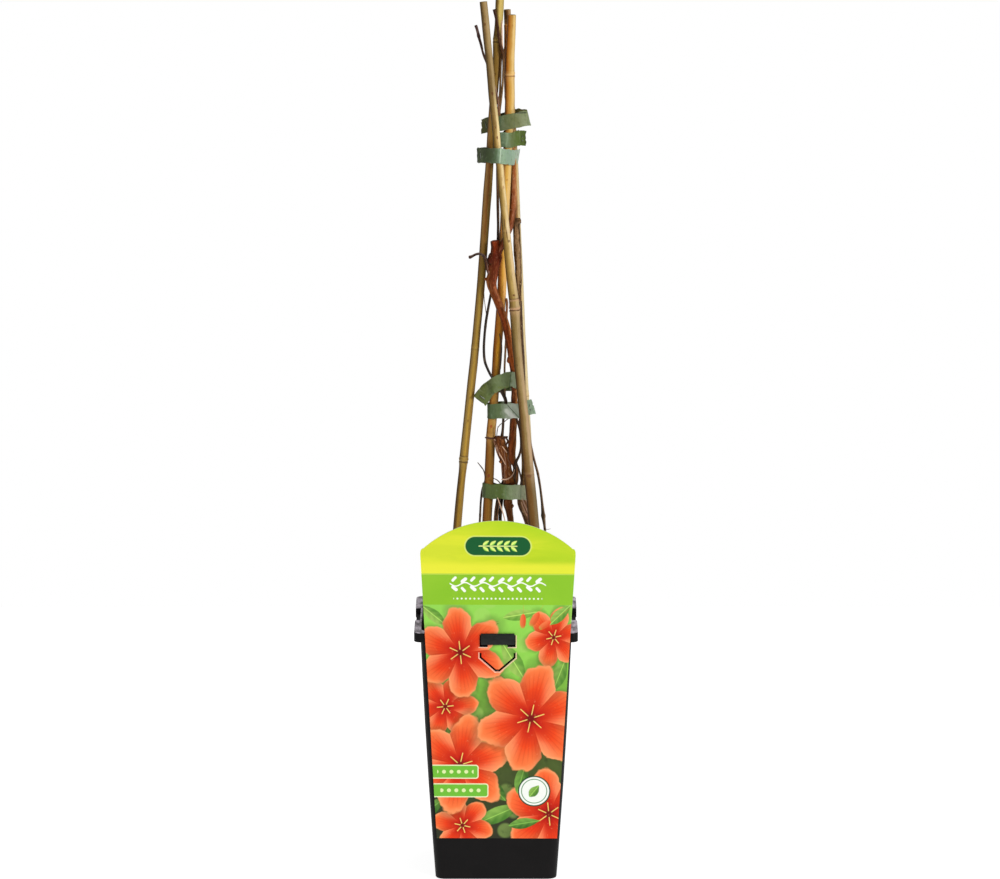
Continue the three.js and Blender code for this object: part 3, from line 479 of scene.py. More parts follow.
def close_rings(rings, skin, turn):
    """One closed mesh from rings of points, with a fan over each end."""
    count, sides = rings.shape[:2]
    verts = [*rings.reshape(-1, 3), rings[0].mean(0), rings[-1].mean(0)]
    skins = [*skin.reshape(-1, 3), skin[0].mean(0), skin[-1].mean(0)]
    turns = [*turn.reshape(-1, 2), turn[0].mean(0), turn[-1].mean(0)]
    faces = []
    for i in range(count - 1):
        for j in range(sides):
            k = (j + 1) % sides
            low, high = i * sides, (i + 1) * sides
            faces.append((low + j, high + j, high + k, low + k))
    start, end = count * sides, count * sides + 1
    top = (count - 1) * sides
    for j in range(sides):
        k = (j + 1) % sides
        faces.append((start, j, k))
        faces.append((end, top + k, top + j))
    skins, turns = np.array(skins), np.array(turns)
    return {"verts": np.array(verts), "faces": faces, "skin": skins, "turn": turns}


def joined(parts):
    """Several meshes as one."""
    start, faces = 0, []
    for part in parts:
        faces += [tuple(start + i for i in face) for face in part["faces"]]
        start += len(part["verts"])
    made = {"faces": faces}
    for key in parts[0]:
        if key != "faces":
            made[key] = np.concatenate([part[key] for part in parts])
    return made


def piece(name, part, look, nodes=(), sharp=45):
    """Makes an object from a mesh in millimetres, and rides it on the part's one body. Every other
    field of the mesh becomes a vector attribute that the material can read."""
    mesh = bpy.data.meshes.new(name)
    mesh.from_pydata((np.asarray(part["verts"]) * MM).tolist(), [], part["faces"])
    for key, values in part.items():
        if key in ("verts", "faces"):
            continue
        values = np.asarray(values, np.float32)
        padded = np.zeros((len(values), 3), np.float32)
        padded[:, : values.shape[1]] = values
        attribute = mesh.attributes.new(key, "FLOAT_VECTOR", "POINT")
        attribute.data.foreach_set("vector", padded.ravel())
    mesh.shade_smooth()
    mesh.set_sharp_from_angle(angle=math.radians(sharp))
    looks = look if isinstance(look, list) else [look]
    for one in looks:
        mesh.materials.append(one.material)
    obj = link(bpy.data.objects.new(name, mesh))
    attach(obj, "root")
    if nodes:
        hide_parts(*nodes)
    return obj


# ------------------------------------------------------------------------------------------------
# Where the canes, stems, tapes and wire run
# ------------------------------------------------------------------------------------------------

# A row is [x, y, z] or [x, y, z, radius]. A cane also has the heights of its joints, and a tape
# the tip and the root of its tail, where its two layers meet, and the loop between them.
CANES = {
    "cane_front": {
        "joints": (172, 332, 465.4, 528, 622, 690),
        "axis": [
            (46.6, -33.4, 113, 4.3), (39.2, -30, 196, 4.3), (30.3, -25.9, 293.5, 4.25),
            (28.7, -25.4, 310.7, 4.25), (26.6, -24.4, 331.9, 4.2), (24.1, -23.3, 359.6, 4),
            (22.3, -22.4, 380.8, 3.8), (20.2, -21.6, 400.3, 3.65), (18.5, -20.9, 416.5, 3.6),
            (17, -20.3, 432.7, 3.65), (15.7, -19.7, 448.9, 3.75), (14.8, -18.9, 467.5, 3.95),
            (14.3, -18.7, 473.1, 3.95), (13, -18.3, 482.8, 3.8), (11.3, -17.7, 497.3, 3.6),
            (9.7, -17, 513.4, 3.4), (8, -16.3, 529.5, 3.15), (6.7, -15.7, 543.1, 3),
            (5.5, -15.2, 555.2, 2.95), (4, -14.6, 569.6, 2.95), (3, -14.2, 580.8, 2.95),
            (1.3, -13.8, 593.6, 2.95), (0, -13.1, 609.6, 2.95), (-1.6, -12.5, 624.7, 2.95),
            (-2.8, -12.1, 635.1, 3), (-3.8, -11.6, 647.8, 3), (-5.2, -10.9, 664.5, 2.95),
            (-7, -10.2, 681.2, 3), (-8.5, -9.6, 697.1, 3.05), (-10, -9, 711.5, 3),
        ],
    },
    "cane_left": {
        "joints": (205, 337, 430, 556, 679),
        "axis": [
            (-44.6, 4.6, 122, 3.4), (-39.3, 4, 187, 3.4), (-30.3, 3, 297, 3.3),
            (-28.1, 2.7, 320.4, 3.05), (-27.1, 2.6, 329.5, 3.1), (-26, 2.6, 341.1, 3.6),
            (-25.2, 2.5, 349.4, 3.5), (-23.8, 2.3, 362.7, 3.4), (-19.6, 1.9, 404, 3.35),
            (-18.2, 1.8, 416.3, 3.35), (-15.5, 1.5, 445.1, 3.2), (-12.5, 1.1, 477.9, 3.3),
            (-9.5, 0.8, 518.6, 3.25), (-7.9, 0.6, 543, 3.4), (-6.7, 0.5, 559.2, 3.5),
            (-5.4, 0.3, 577.1, 3.25), (-3, 0, 619, 3.1), (0.6, 0, 664, 3.1), (0.8, 0, 676, 3.2),
            (1.3, 0, 683.2, 3.3), (2.1, 0, 692.8, 3.1), (2.8, 0, 705.5, 3.4), (3.4, 0, 722, 3.4),
        ],
    },
    "cane_centre": {
        "joints": (205, 357, 520, 651.6),
        "axis": [
            (-13.6, 0, 101, 3.85), (-10.7, 0, 188, 3.85), (-7, 0, 295.2, 3.85),
            (-6.1, 0, 309.3, 3.85), (-5.4, 0, 330.1, 3.8), (-3.9, 0, 363.1, 3.75),
            (-3.1, 0, 371.4, 3.7), (0, 0, 411, 3.5), (1, 0, 429, 3.55), (4.2, 0, 469.9, 3.6),
            (5.5, 0, 503, 3.55), (8.8, 0, 578, 3.6), (10.6, 0, 619, 3.8), (11.1, 0, 631.9, 3.95),
            (11.1, 0, 664, 3.75), (12.3, 0, 688, 3.4), (12.7, 0, 700, 3.3),
        ],
    },
    "cane_back": {
        "joints": (236, 388, 545, 694),
        "axis": [
            (41.6, 35.5, 105, 2.9), (36.9, 31, 181, 2.8), (30, 25, 283, 2.8), (23, 18, 404, 2.8),
            (21.2, 16, 434, 2.8), (19.4, 14, 476, 2.9), (16.8, 12.7, 537, 2.8),
            (15.1, 12, 577, 2.8), (11.5, 11.2, 640, 2.8), (9, 10.8, 703, 2.8),
        ],
    },
}

STEMS = {
    "main": [
        (9.6, -3.5, 196, 4.6), (11.6, -3.8, 222, 3.2), (12.6, -4.6, 258, 2.5),
        (11.6, -5, 290, 2.4), (10.6, -5, 297.6, 2.9), (9.7, -5, 303.8, 3.5),
        (11.4, -5, 315.4, 3.4), (14.4, -5.2, 321.5, 3.2), (15.6, -5.6, 327, 2.3),
        (15.9, -6, 332, 1.7), (15.3, -6.3, 336, 2), (12.9, -6.5, 341, 3.2),
        (12.7, -7.2, 348.1, 3.3), (13.2, -7.5, 356.4, 3.2), (13.9, -8, 369.7, 2.85),
        (14.8, -8.5, 393.6, 2.35), (14.2, -8.5, 413.3, 2.55), (12.7, -8.5, 422.3, 2.85),
        (11.7, -8.5, 430.5, 2.9), (10.4, -8.5, 438.7, 3), (8.7, -8.5, 446.9, 3),
        (6.7, -8.5, 455.1, 2.95), (3.8, -8.4, 463.2, 3.2), (2.4, -8.3, 467.3, 3.35),
        (0.8, -8.2, 471.3, 3.35), (-0.9, -8.1, 475.4, 3.3), (-2.3, -8, 479.4, 3.4),
        (-3.3, -8, 483.5, 3.9), (-3.5, -8, 487.6, 4.4), (-2.7, -8, 491.6, 4.2),
        (-1.9, -8, 496.5, 4.2), (-1, -8, 501.4, 4.6), (-0.6, -8, 505.9, 5.2),
        (-0.5, -8, 510.3, 3.9), (-0.6, -8, 514.4, 3.5), (-1, -8, 519.1, 3.7),
    ],
    "upper": [
        (-0.6, -8, 504.6, 2.8), (3, -7.9, 511.9, 2.6), (7.4, -7.2, 520.7, 2.3),
        (10.9, -4.4, 528.4, 2.3), (12.7, -1, 535.2, 2.5), (13.6, 1.8, 542.8, 3.1),
        (13.9, 3.4, 550.7, 3.1), (14.1, 4.2, 558.7, 2.8), (14.2, 4.6, 566.7, 2.4),
        (14.3, 5, 574.8, 2.2), (13.9, 5.4, 584.4, 2), (12.5, 5.9, 596.4, 1.7),
        (10.2, 6.2, 616.2, 1.6), (8.2, 5.4, 639.5, 1.6), (8.1, 4.8, 663.4, 1.7),
        (8.1, 4.6, 691.4, 1.7),
    ],
    "right": [
        (10, -3.5, 197, 4.6), (18, -6, 212, 3.9), (26.1, -8.3, 232.1, 4), (30.2, -9.5, 258, 3.8),
        (27.9, -10.5, 285.9, 3.5), (24.9, -10.6, 296.7, 3.9), (21.9, -10.6, 305.4, 4.3),
        (22.3, -10.4, 317.4, 3.4), (23.4, -10, 328.9, 2.8), (23.4, -9.4, 340.3, 2.7),
        (21.2, -6, 369, 2.7), (20.6, -3.6, 396.8, 2.3), (20.5, -2.6, 413, 2),
        (19.5, -2, 429.3, 1.95), (18.7, -1.4, 445.6, 1.95), (18.2, -1, 461.1, 1.95),
        (18.3, -0.6, 470, 1.9), (18.2, 0, 482.1, 2.25), (18, 1.4, 495.7, 2.75),
        (17.3, 2, 509.5, 3), (16.7, 2.5, 521.6, 2.95), (16.5, 2.7, 529.7, 2.7),
        (17.2, 3, 535.7, 2.6),
    ],
    "spur": [(17.3, 2.4, 532.6, 2.2), (18.9, 1.6, 534.3, 2.3), (19.7, 1.4, 534.5, 1.5)],
    "barky": [
        (10.5, -5.5, 321.3, 5), (9.7, -5.5, 326.3, 4.7), (8.5, -5.2, 331.2, 3.7),
        (8.2, -5, 335.3, 3.7), (7.8, -5, 339.4, 4), (6.4, -4.8, 343.5, 4.4),
        (5, -4.6, 347.6, 4.6), (3.8, -4.4, 351.7, 4.5), (2.8, -4.2, 355.3, 4.6),
        (3, -4, 358.2, 4.6),
    ],
    "barkySpur": [(6.8, -5.6, 341.2, 2.4), (4.2, -6.4, 338.7, 1.8), (2.7, -6.6, 337.9, 1)],
    "dark": [
        (8.6, -4, 196, 3.4), (4, -4.2, 226, 2.2), (0.8, -4, 262, 1.8), (0, -3.6, 290, 1.8),
        (1.6, -3.8, 305, 1.9), (4.6, -4.4, 315, 2.2), (9.2, -5.2, 326, 2.8),
    ],
    "darkSecond": [
        (10.6, -1, 196, 3), (7.4, 2, 226, 1.6), (4.4, 2.4, 262, 1.3), (3.4, 1.4, 290, 1.3),
        (4.6, 0.4, 304, 1.3), (7.2, -2, 316, 1.6), (10.4, -4.6, 327, 2.2),
    ],
    "shoot": [
        (4.2, -3, 354.7, 1.6), (5.4, -4.4, 364, 1.05), (6.2, -5.6, 378, 1.05),
        (7.9, -6.6, 388, 1.35), (4.4, -6.6, 396.5, 1.5), (0.6, -6.3, 403, 1.1),
        (-3.7, -6, 408.5, 1.05), (-6.8, -5.5, 414.5, 1.05), (-9, -5, 420.5, 1.05),
        (-9.8, -5, 429.9, 1.05), (-9.3, -5, 441.3, 1), (-8.1, -5, 452.8, 1.05),
        (-6.4, -4.6, 463.3, 1.05), (-4.4, -2.8, 474, 0.95), (-2.2, -1.4, 487, 0.95),
        (-0.5, -1, 501, 1), (0.5, -1.2, 509.2, 1.05), (1.5, -1.6, 519, 1.1),
        (1.7, -2.2, 531.3, 1.1), (1.4, -3.2, 551.7, 1.15), (1.2, -4, 580.1, 1.1),
        (1.9, -4.6, 600.4, 1), (2.6, -4.8, 620.5, 0.95), (3.2, -4.8, 626.1, 0.9),
        (3.9, -4.8, 631.7, 0.9), (4.7, -4.8, 639, 0.9), (5.4, -4.8, 646.2, 0.85),
        (5.7, -4.8, 653.4, 0.85), (5.9, -4.8, 660.6, 0.9), (5.7, -4.8, 667, 1),
        (5, -4.9, 671.4, 1.5), (4, -4.8, 675, 1.25), (3, -4.8, 679, 1.1), (2.1, -4.7, 684.1, 1.1),
        (1.4, -4.6, 690.1, 1.15), (0.6, -4.6, 695.7, 1.15), (-0.5, -4.5, 700.9, 1.15),
        (-1.5, -4.4, 704.8, 1.25),
    ],
    "topBlack": [
        (1.3, -4.6, 622.9, 0.8), (2.2, -4.4, 629.3, 0.85), (3, -3.9, 636.4, 0.9),
        (3.4, -3.6, 643.6, 0.85), (3.6, -3.3, 651.6, 0.85), (3.8, -3.2, 659.6, 0.8),
        (4.2, -3.6, 666.8, 0.8), (5, -4.2, 670.9, 0.8),
    ],
    "topLeft": [
        (2.3, -4.8, 618, 0.9), (1.5, -5.7, 632, 0.9), (-2.4, -5.9, 648, 0.85),
        (-6.8, -5.9, 661, 0.85), (-9.5, -5.6, 667.9, 1), (-11, -5.8, 672.7, 0.85),
        (-12.3, -6, 677.9, 0.9), (-13.6, -6, 683.1, 1.2), (-14.6, -6, 687.5, 1.1),
        (-15.4, -6, 690.3, 1.15), (-16.1, -6, 692.3, 1.25),
    ],
    "topLeftTwig": [(-13, -6, 682, 0.8), (-11.6, -7, 678, 0.6), (-10.5, -7.6, 673.3, 0.55)],
    "sideTwig": [
        (-2.8, -8, 488, 2), (-4.8, -9, 492.6, 1.9), (-6.3, -8.4, 497, 1.9),
        (-7.4, -7.4, 501.3, 1.85), (-8.7, -6.8, 505, 1.5), (-10.6, -6.5, 507.5, 1.1),
        (-13.2, -6.5, 508.6, 1), (-16.5, -6.5, 508, 0.95), (-18.9, -6.5, 506.7, 1.05),
        (-20.9, -6.5, 505.9, 1.45), (-21.8, -6.5, 505.7, 1.1),
    ],
    "grey": [
        (7.2, -6.4, 392, 0.8), (7, -4.9, 405.3, 0.75), (6.9, -4, 414.9, 0.8),
        (7.5, -3, 427.9, 0.85), (7.9, -2.4, 437.6, 0.8), (8.2, -1.8, 449.8, 0.8),
        (8.6, -1.6, 460.4, 0.95), (8.8, -2.2, 467.8, 1.1), (8.4, -2.6, 471.6, 0.8),
    ],
    "darkRight": [
        (15.3, -6.6, 319, 1.5), (14.9, -7, 325.8, 1.6), (15.1, -8, 333, 1.4),
        (16.3, -10, 339.2, 1.2), (18.5, -12.4, 344.2, 1), (20, -14.4, 350.4, 0.95),
        (20.1, -15, 357.9, 0.95), (19.2, -13.6, 365.9, 0.95), (17, -11, 373.6, 0.9),
        (14.8, -9.6, 380.7, 0.85),
    ],
    "rightThin": [
        (14, -3.6, 200, 2.4), (27, -3, 211, 1.4), (38, -3.5, 229, 1.1), (41.6, -7, 256, 1.05),
        (39.3, -12, 286, 1.05), (38.2, -13.5, 295, 1.6), (37.2, -14, 306, 1),
        (35.5, -14.5, 320, 1), (33.8, -14.8, 330, 1), (30.9, -15, 341, 1), (27.6, -14.6, 355, 1),
        (23.6, -11.8, 371, 1.1), (21.2, -9.6, 384, 1.4),
    ],
    "leftThin": [
        (7.2, -4.8, 200, 2.2), (-1.5, -7.2, 215, 1.2), (-10.4, -6.5, 244, 0.9),
        (-13.6, -3.6, 272, 0.9), (-12.9, -0.6, 293, 0.9), (-12.3, 2.8, 304.5, 0.85),
        (-11.2, 5.6, 313, 0.8), (-8.9, 6.8, 321, 0.6), (-10.2, 6.6, 328.5, 0.42),
        (-14.9, 4.6, 335.4, 0.3),
    ],
}

TIES = {
    "tie_1": {
        "tip": (-11.2, 6.6, 610), "root": (-4.2, 6.2, 611.9),
        "loop": [
            (-0.6, 4.6, 612.6), (1.3, 2, 613.1), (1, -1.8, 613.4), (-0.4, -5.5, 613.7),
            (1.9, -8.2, 614.2), (7, -7.2, 614.9), (13, -6, 615.7), (20, -4.2, 616.7),
            (25.2, -1.2, 617.4), (26.2, 2.4, 617.7), (23.6, 7, 617.6), (18.4, 12.4, 617.1),
            (14.6, 16, 616.2), (10.6, 15.6, 615.4), (6.6, 11.6, 614.4), (1.4, 8, 613.2),
        ],
    },
    "tie_2": {
        "tip": (23.6, 3, 600.6), "root": (18.8, 3.4, 600.6),
        "loop": [
            (17.9, 6, 600.4), (17.9, 11, 599.9), (15.8, 15.4, 599.5), (11.6, 15.8, 599.3),
            (8.4, 12, 599.4), (5, 5, 599.8), (1.4, -2, 600.2), (0.1, -5.2, 600.4),
            (2.2, -7, 600.5), (6, -6.4, 600.6), (10.2, -5.3, 600.6), (14.4, -3, 600.6),
            (16.8, 0.9, 600.6),
        ],
    },
    "tie_3": {
        "tip": (-14.9, -4.8, 587.8), "root": (-10.4, -4, 588),
        "loop": [
            (-8.6, -4.9, 588.2), (-6.2, -7.4, 588.4), (-3.4, -12, 588.8), (-0.9, -16.2, 589.2),
            (3, -18.3, 589.2), (6.9, -16.2, 588.6), (10.2, -9.6, 587.4), (13.8, -1.6, 586),
            (16.2, 5, 585.2), (18.3, 11, 584.6), (17.2, 15.6, 583.8), (12.4, 16.1, 584),
            (2.4, 10, 585.4), (-6.6, 4.7, 586.6), (-9.3, 1.4, 587.2),
        ],
    },
    "tie_4": {
        "tip": (-13.2, -4.4, 388.2), "root": (-8.2, -4.2, 394.6),
        "loop": [
            (-5.4, -5.4, 398.2), (-2.6, -8.1, 401.4), (1.2, -9.4, 403.4), (5, -10, 405.2),
            (10, -11.4, 407), (14.8, -12.3, 406.9), (18, -10.2, 405.4), (17.9, -7, 404),
            (14.2, -2.9, 402.4), (9, 1.8, 400.8), (3.4, 4.8, 399.2), (-1, 5, 397.8),
            (-4.9, 3.2, 396.6), (-6.3, -0.4, 395.8),
        ],
    },
    "tie_5": {
        "tip": (29.8, -10.4, 384.5), "root": (25.2, -10.4, 383.3),
        "loop": [
            (25.2, -6.6, 382.8), (24.2, -2.2, 381.8), (20.4, -0.6, 381), (12, 2.8, 380.2),
            (3.4, 4.9, 379.8), (-2, 4.9, 379.6), (-5.7, 3, 379.5), (-6.9, -0.6, 379.4),
            (-5.4, -4, 379.5), (-1.4, -6, 379.8), (5, -8.8, 380.4), (11, -12, 381),
            (16, -13.5, 381.6), (21.8, -13.6, 382.6),
        ],
    },
    "tie_6": {
        "tip": (16.2, 9.6, 311.4), "root": (12.9, 5.4, 311.4),
        "loop": [
            (8.8, 4.4, 311.6), (2, 4.8, 312), (-4, 5, 312.6), (-8.4, 4, 312.9),
            (-10.95, 0.6, 313.1), (-9.85, -3.2, 313.3), (-6, -4.9, 313.4), (-0.5, -6.4, 313.6),
            (4, -7.8, 313.8), (9, -9.6, 314), (14.4, -12.4, 314.3), (19.4, -15, 314.5),
            (23.6, -14.9, 314.5), (26.4, -12, 314.1), (26, -8.2, 313.4), (21, -2.8, 312.4),
            (16, 2, 311.8),
        ],
    },
}
WIRE_LOOP = [
    (8.6, -6.9, 358.4), (9, -2.6, 358), (6.8, 1.4, 357.2), (1.2, 4.2, 356.4), (-3.5, 5, 356.2),
    (-7.3, 3.2, 356.4), (-8.5, 0, 356.9), (-7.3, -3.3, 357.4), (-3.4, -5.1, 357.2),
    (1, -7, 357.4), (4.8, -7.9, 357.8), (8, -7.5, 358),
]
WIRE_TAIL = [
    (7.4, -7.4, 359.2), (8.4, -7.5, 357.6), (9.4, -7.9, 355.8), (8.9, -8.2, 353.6),
    (7.6, -8, 352),
]


# ------------------------------------------------------------------------------------------------
# Canes
# ------------------------------------------------------------------------------------------------

CANE_SIDES = 32
CANE_STEP = 5.0
JOINT_STEP = 0.35

# How far below and above a joint the fine rings of the mesh reach.
JOINT_REACH = (-5.0, 10.5)
WELL_MARKED = 1.3
CUT_TOP = ((0.93, 0.03), (0.5, 0.01), (0.42, -0.35), (0.2, -0.5))

# Each bump of a joint: its height, how far above the joint it is and its width.
JOINT_BUMPS = ((0.22, -0.9, 0.9), (0.26, 1.6, 1.2), (-0.12, 0.25, 0.4), (0.08, 0.0, 5.0))

# How marked each joint is, from the lowest up, and how far above it its upper ring lies. Then the
# colours by height, for the middle and the two edges; the edge colours paint the light across the
# cane, painted shade where darker and painted highlight where paler. A scar is (height, place from
# the left edge at -1 to the right edge at 1, half width, half height, colour, strength), in
# millimetres.
CANE_COLOURS = {
    "cane_front": {
        "slot": "cane_pale", "joints": (0.3, 0.25, 1.5, 0.25, 0.12, 0.12), "collar": 8,
        "middle": [
            (320, (125, 90, 45)), (355, (150, 125, 75)), (435, (160, 135, 85)),
            (458, (140, 115, 65)), (485, (190, 160, 90)), (600, (190, 155, 90)),
            (640, (125, 100, 55)), (680, (160, 130, 80)),
        ],
        "left": [
            (320, (130, 90, 40)), (440, (110, 85, 40)), (495, (155, 120, 55)),
            (600, (140, 110, 50)), (650, (115, 90, 50)),
        ],
        "right": [
            (320, (125, 105, 70)), (345, (190, 160, 125)), (455, (170, 145, 100)),
            (500, (225, 195, 145)), (615, (240, 215, 155)), (645, (170, 145, 100)),
        ],
        "scars": [
            (694, -0.2, 0.9, 1.4, (110, 70, 38), 0.8), (639, 0.1, 1, 1.7, (104, 64, 34), 0.85),
            (477.6, 0.1, 1, 0.9, (104, 62, 34), 0.85), (531, 0.5, 1.1, 6.5, (232, 208, 164), 0.8),
            (535, -0.2, 0.5, 5.5, (86, 54, 22), 0.8), (526, 0.1, 0.5, 5, (92, 58, 24), 0.8),
            (521, 0.4, 1.2, 1.2, (84, 54, 24), 0.7), (604, 0.2, 0.8, 1.4, (120, 66, 30), 0.8),
            (612, 0, 0.6, 1, (110, 64, 30), 0.7), (421, -0.3, 0.6, 1.1, (96, 70, 38), 0.5),
            (592, 0.2, 0.7, 2, (96, 72, 34), 0.6), (571, 0.3, 0.5, 1.6, (150, 92, 56), 0.5),
            (564, 0.5, 0.6, 1.6, (160, 96, 60), 0.5), (331, 0, 1.6, 1.6, (104, 58, 34), 0.6),
        ],
        "ring": (202, 156, 120), "line": (84, 54, 28), "speckles": 0.55,
    },
    "cane_left": {
        "slot": "cane_pale", "joints": (0.6, 1.4, 0.45, 0.15, 1), "collar": 3.6,
        "middle": [
            (300, (170, 130, 45)), (345, (190, 150, 60)), (495, (155, 125, 50)),
            (525, (140, 90, 35)), (585, (140, 85, 35)), (612, (150, 120, 45)),
            (676, (140, 105, 40)), (700, (220, 190, 105)),
        ],
        "left": [
            (320, (110, 80, 35)), (350, (160, 130, 70)), (500, (140, 105, 50)),
            (580, (175, 130, 75)), (675, (140, 110, 50)),
        ],
        "right": [
            (330, (155, 120, 55)), (470, (135, 105, 50)), (605, (145, 115, 55)),
            (680, (125, 90, 45)), (695, (195, 170, 95)),
        ],
        "scars": [
            (653, -0.1, 0.8, 1.2, (94, 64, 26), 0.6), (371, 0.1, 0.8, 1.4, (120, 78, 34), 0.6),
            (336.5, 0.5, 1.6, 0.9, (70, 46, 16), 0.8), (679, 0, 3, 1, (66, 42, 14), 0.8),
            (684, 0.2, 2.6, 2.4, (116, 84, 54), 0.6),
        ],
        "ring": (176, 146, 76), "line": (92, 66, 36), "speckles": 0.35,
    },
    "cane_centre": {
        "slot": "cane_gold", "joints": (0.6, 0.7, 0.3, 1.1), "collar": 3.2,
        "middle": [
            (345, (145, 100, 35)), (372, (190, 145, 70)), (404, (180, 125, 40)),
            (430, (240, 170, 45)), (453, (205, 130, 35)), (475, (225, 165, 60)),
            (560, (235, 185, 85)), (690, (195, 145, 65)),
        ],
        "left": [
            (350, (150, 95, 35)), (373, (200, 140, 65)), (425, (145, 85, 25)),
            (470, (205, 120, 40)), (575, (225, 165, 85)), (650, (205, 125, 40)),
        ],
        "right": [
            (346, (130, 90, 35)), (370, (230, 180, 105)), (402, (155, 110, 50)),
            (455, (175, 115, 45)), (475, (235, 180, 105)), (600, (230, 195, 125)),
        ],
        "scars": [
            (366.8, -0.1, 0.9, 1.5, (168, 78, 36), 0.85),
            (326, -0.1, 0.9, 1.7, (132, 58, 36), 0.8), (568, 0.1, 0.8, 1, (186, 110, 50), 0.5),
            (538, -0.3, 0.7, 1.4, (176, 104, 52), 0.5), (477, 0.3, 0.6, 1.4, (182, 104, 44), 0.5),
            (692, 0.2, 0.6, 0.9, (168, 98, 48), 0.5),
        ],
        "ring": (236, 188, 118), "line": (128, 70, 34), "speckles": 0.3,
    },
    "cane_back": {
        "slot": "cane_gold", "joints": (0.6, 0.6, 0.3, 0.35), "collar": 3.2,
        "middle": [
            (300, (165, 130, 75)), (400, (190, 160, 105)), (508, (160, 125, 75)),
            (577, (180, 120, 60)), (662, (165, 115, 60)), (690, (165, 120, 70)),
            (695, (120, 80, 40)),
        ],
        "left": [
            (300, (120, 90, 50)), (400, (150, 120, 70)), (577, (130, 80, 35)),
            (690, (205, 155, 85)), (695, (65, 40, 15)),
        ],
        "right": [
            (300, (190, 165, 110)), (400, (230, 210, 160)), (577, (215, 190, 140)),
            (640, (200, 150, 85)), (700, (175, 140, 95)),
        ],
        "scars": [(431, 0, 0.8, 1.3, (150, 100, 56), 0.5)], "ring": (214, 176, 122),
        "line": (126, 84, 48), "speckles": 0.3,
    },
}


def cane_mesh(cane, marked, collar):
    """A cane with its joints. The field "joint" holds a joint's pale rings, its dark lines and the
    paler skin round it, each from 0 to 1."""
    path = Path(cane["axis"])
    joints = path.along_at_height(np.array(cane["joints"]))
    marked = np.array(marked)
    near = [joint + np.arange(*JOINT_REACH, JOINT_STEP) for joint in joints]
    stations = np.concatenate([np.linspace(0, path.total, int(path.total / CANE_STEP)), *near])
    stations = stations[(stations >= 0) & (stations <= path.total)]
    stations = np.unique(np.round(stations, 3))
    seed = len(cane["joints"])

    def relief(skin, along, radius):
        swell = np.zeros_like(along)
        for joint, much in zip(joints, marked):
            for height, place, width in JOINT_BUMPS:
                swell = swell + much * height * hump(along - joint, place, width)
        grooves = rough(skin * (1, 1, 0.05), 0.9, seed)
        waves = rough(skin * (1, 1, 0.25), 6.0, seed + 3)
        return swell * (radius / 3.5) + 0.035 * grooves + 0.05 * waves

    ends = (FLAT, CUT_TOP)
    made = tube(path, CANE_SIDES, relief=relief, carried=False, stations=stations, ends=ends)
    away = made["skin"][:, 2:3] - joints[None, :]
    upper = np.where(marked > WELL_MARKED, 0.8, 0.3)
    ring = hump(away, 0.9, 1.0) + hump(away, collar, 0.8) * upper
    line = hump(away, -0.3, 0.5) + hump(away, collar + 0.9, 0.5) * upper
    glow = hump(away, -1.5, 3.5)
    fields = [(field * np.minimum(marked, 1.2)).max(1) for field in (ring, line, glow)]
    made["joint"] = np.stack(fields, -1)
    return made


def cane_look(name, colours):
    look = Look(name)
    skin = look.attribute("skin")
    across, front, _ = look.split(look.attribute("turn"))
    ring, line, glow = look.split(look.attribute("joint"))
    height = look.split(look.place())[2]
    waver = look.noise(skin, 0.12, 3) - 0.5
    shifted = across + waver * 0.5
    look.colour = look.along(height + waver * 10, colours["middle"])
    # The edge colours paint the light across the cane: painted shade where darker, painted
    # highlight where paler.
    left = look.along(height, colours["left"])
    right = look.along(height, colours["right"])
    look.lay(look.smooth(0.12, -0.6, shifted), left)
    look.lay(look.smooth(0.1, 0.6, shifted), right)
    # Painted shade: both silhouette edges are darkened, the left one most.
    shaded_left_edge = look.mix(1.0, left, (92, 80, 62), "MULTIPLY")
    look.lay(look.smooth(-0.55, -1.0, across) * 0.8, shaded_left_edge)
    shaded_right_edge = look.mix(1.0, right, (116, 104, 84), "MULTIPLY")
    look.lay(look.smooth(0.8, 1.0, across) * 0.3, shaded_right_edge)
    streaks = look.grain(skin, 0.03, 1.6, 5, 0.65)
    greys = look.ramp(streaks, [(0.3, (150, 150, 148)), (0.68, (215, 214, 212))])
    look.lay(0.5, greys, "SOFT_LIGHT")
    speckles = look.grain(skin, 0.4, 2.4, 4, 0.7)
    pale = look.smooth(0.6, 0.72, speckles) * colours["speckles"]
    look.lay(pale, [min(255, c + 26) for c in colours["ring"]])
    dark = look.smooth(0.62, 0.74, look.grain(skin, 0.5, 1.7, 5, 0.7)) * 0.55
    look.lay(dark, colours["line"])
    blotches = look.smooth(0.55, 0.75, look.grain(skin, 0.16, 0.55, 3)) * 0.3
    look.lay(blotches, colours["line"])
    for place, side, wide, tall, scar, strength in colours["scars"]:
        ragged = (speckles - 0.5) * 1.2
        spot = look.far((across - side) * 3.2 / wide, (height - place) / tall) + ragged
        seen = look.smooth(1.15, 0.6, spot) * look.smooth(-0.1, 0.2, front) * strength
        look.lay(seen, scar)
    patchy = look.smooth(0.3, 0.6, look.noise(skin, 0.5, 3)) * 0.5 + 0.5
    look.lay(glow * 0.25, colours["ring"])
    look.lay(ring * patchy * 0.75, colours["ring"])
    look.lay(line * patchy * 0.85, colours["line"])
    inward = look.far(across, front)
    cut = look.smooth(0.985, 0.9, inward)
    # Painted shade: the bottom of the hollow cut end is darkened.
    hollow_shade = look.smooth(0.5, 0.4, inward)
    look.lay(cut, (146, 124, 78))
    look.lay(hollow_shade, (84, 66, 40))
    look.surface(look.smooth(-0.6, 1.6, streaks + cut) * 0.5 + 0.2, 0.14)
    look.bump(streaks * 0.6 + speckles * 0.4, 0.35, 0.12)
    return look


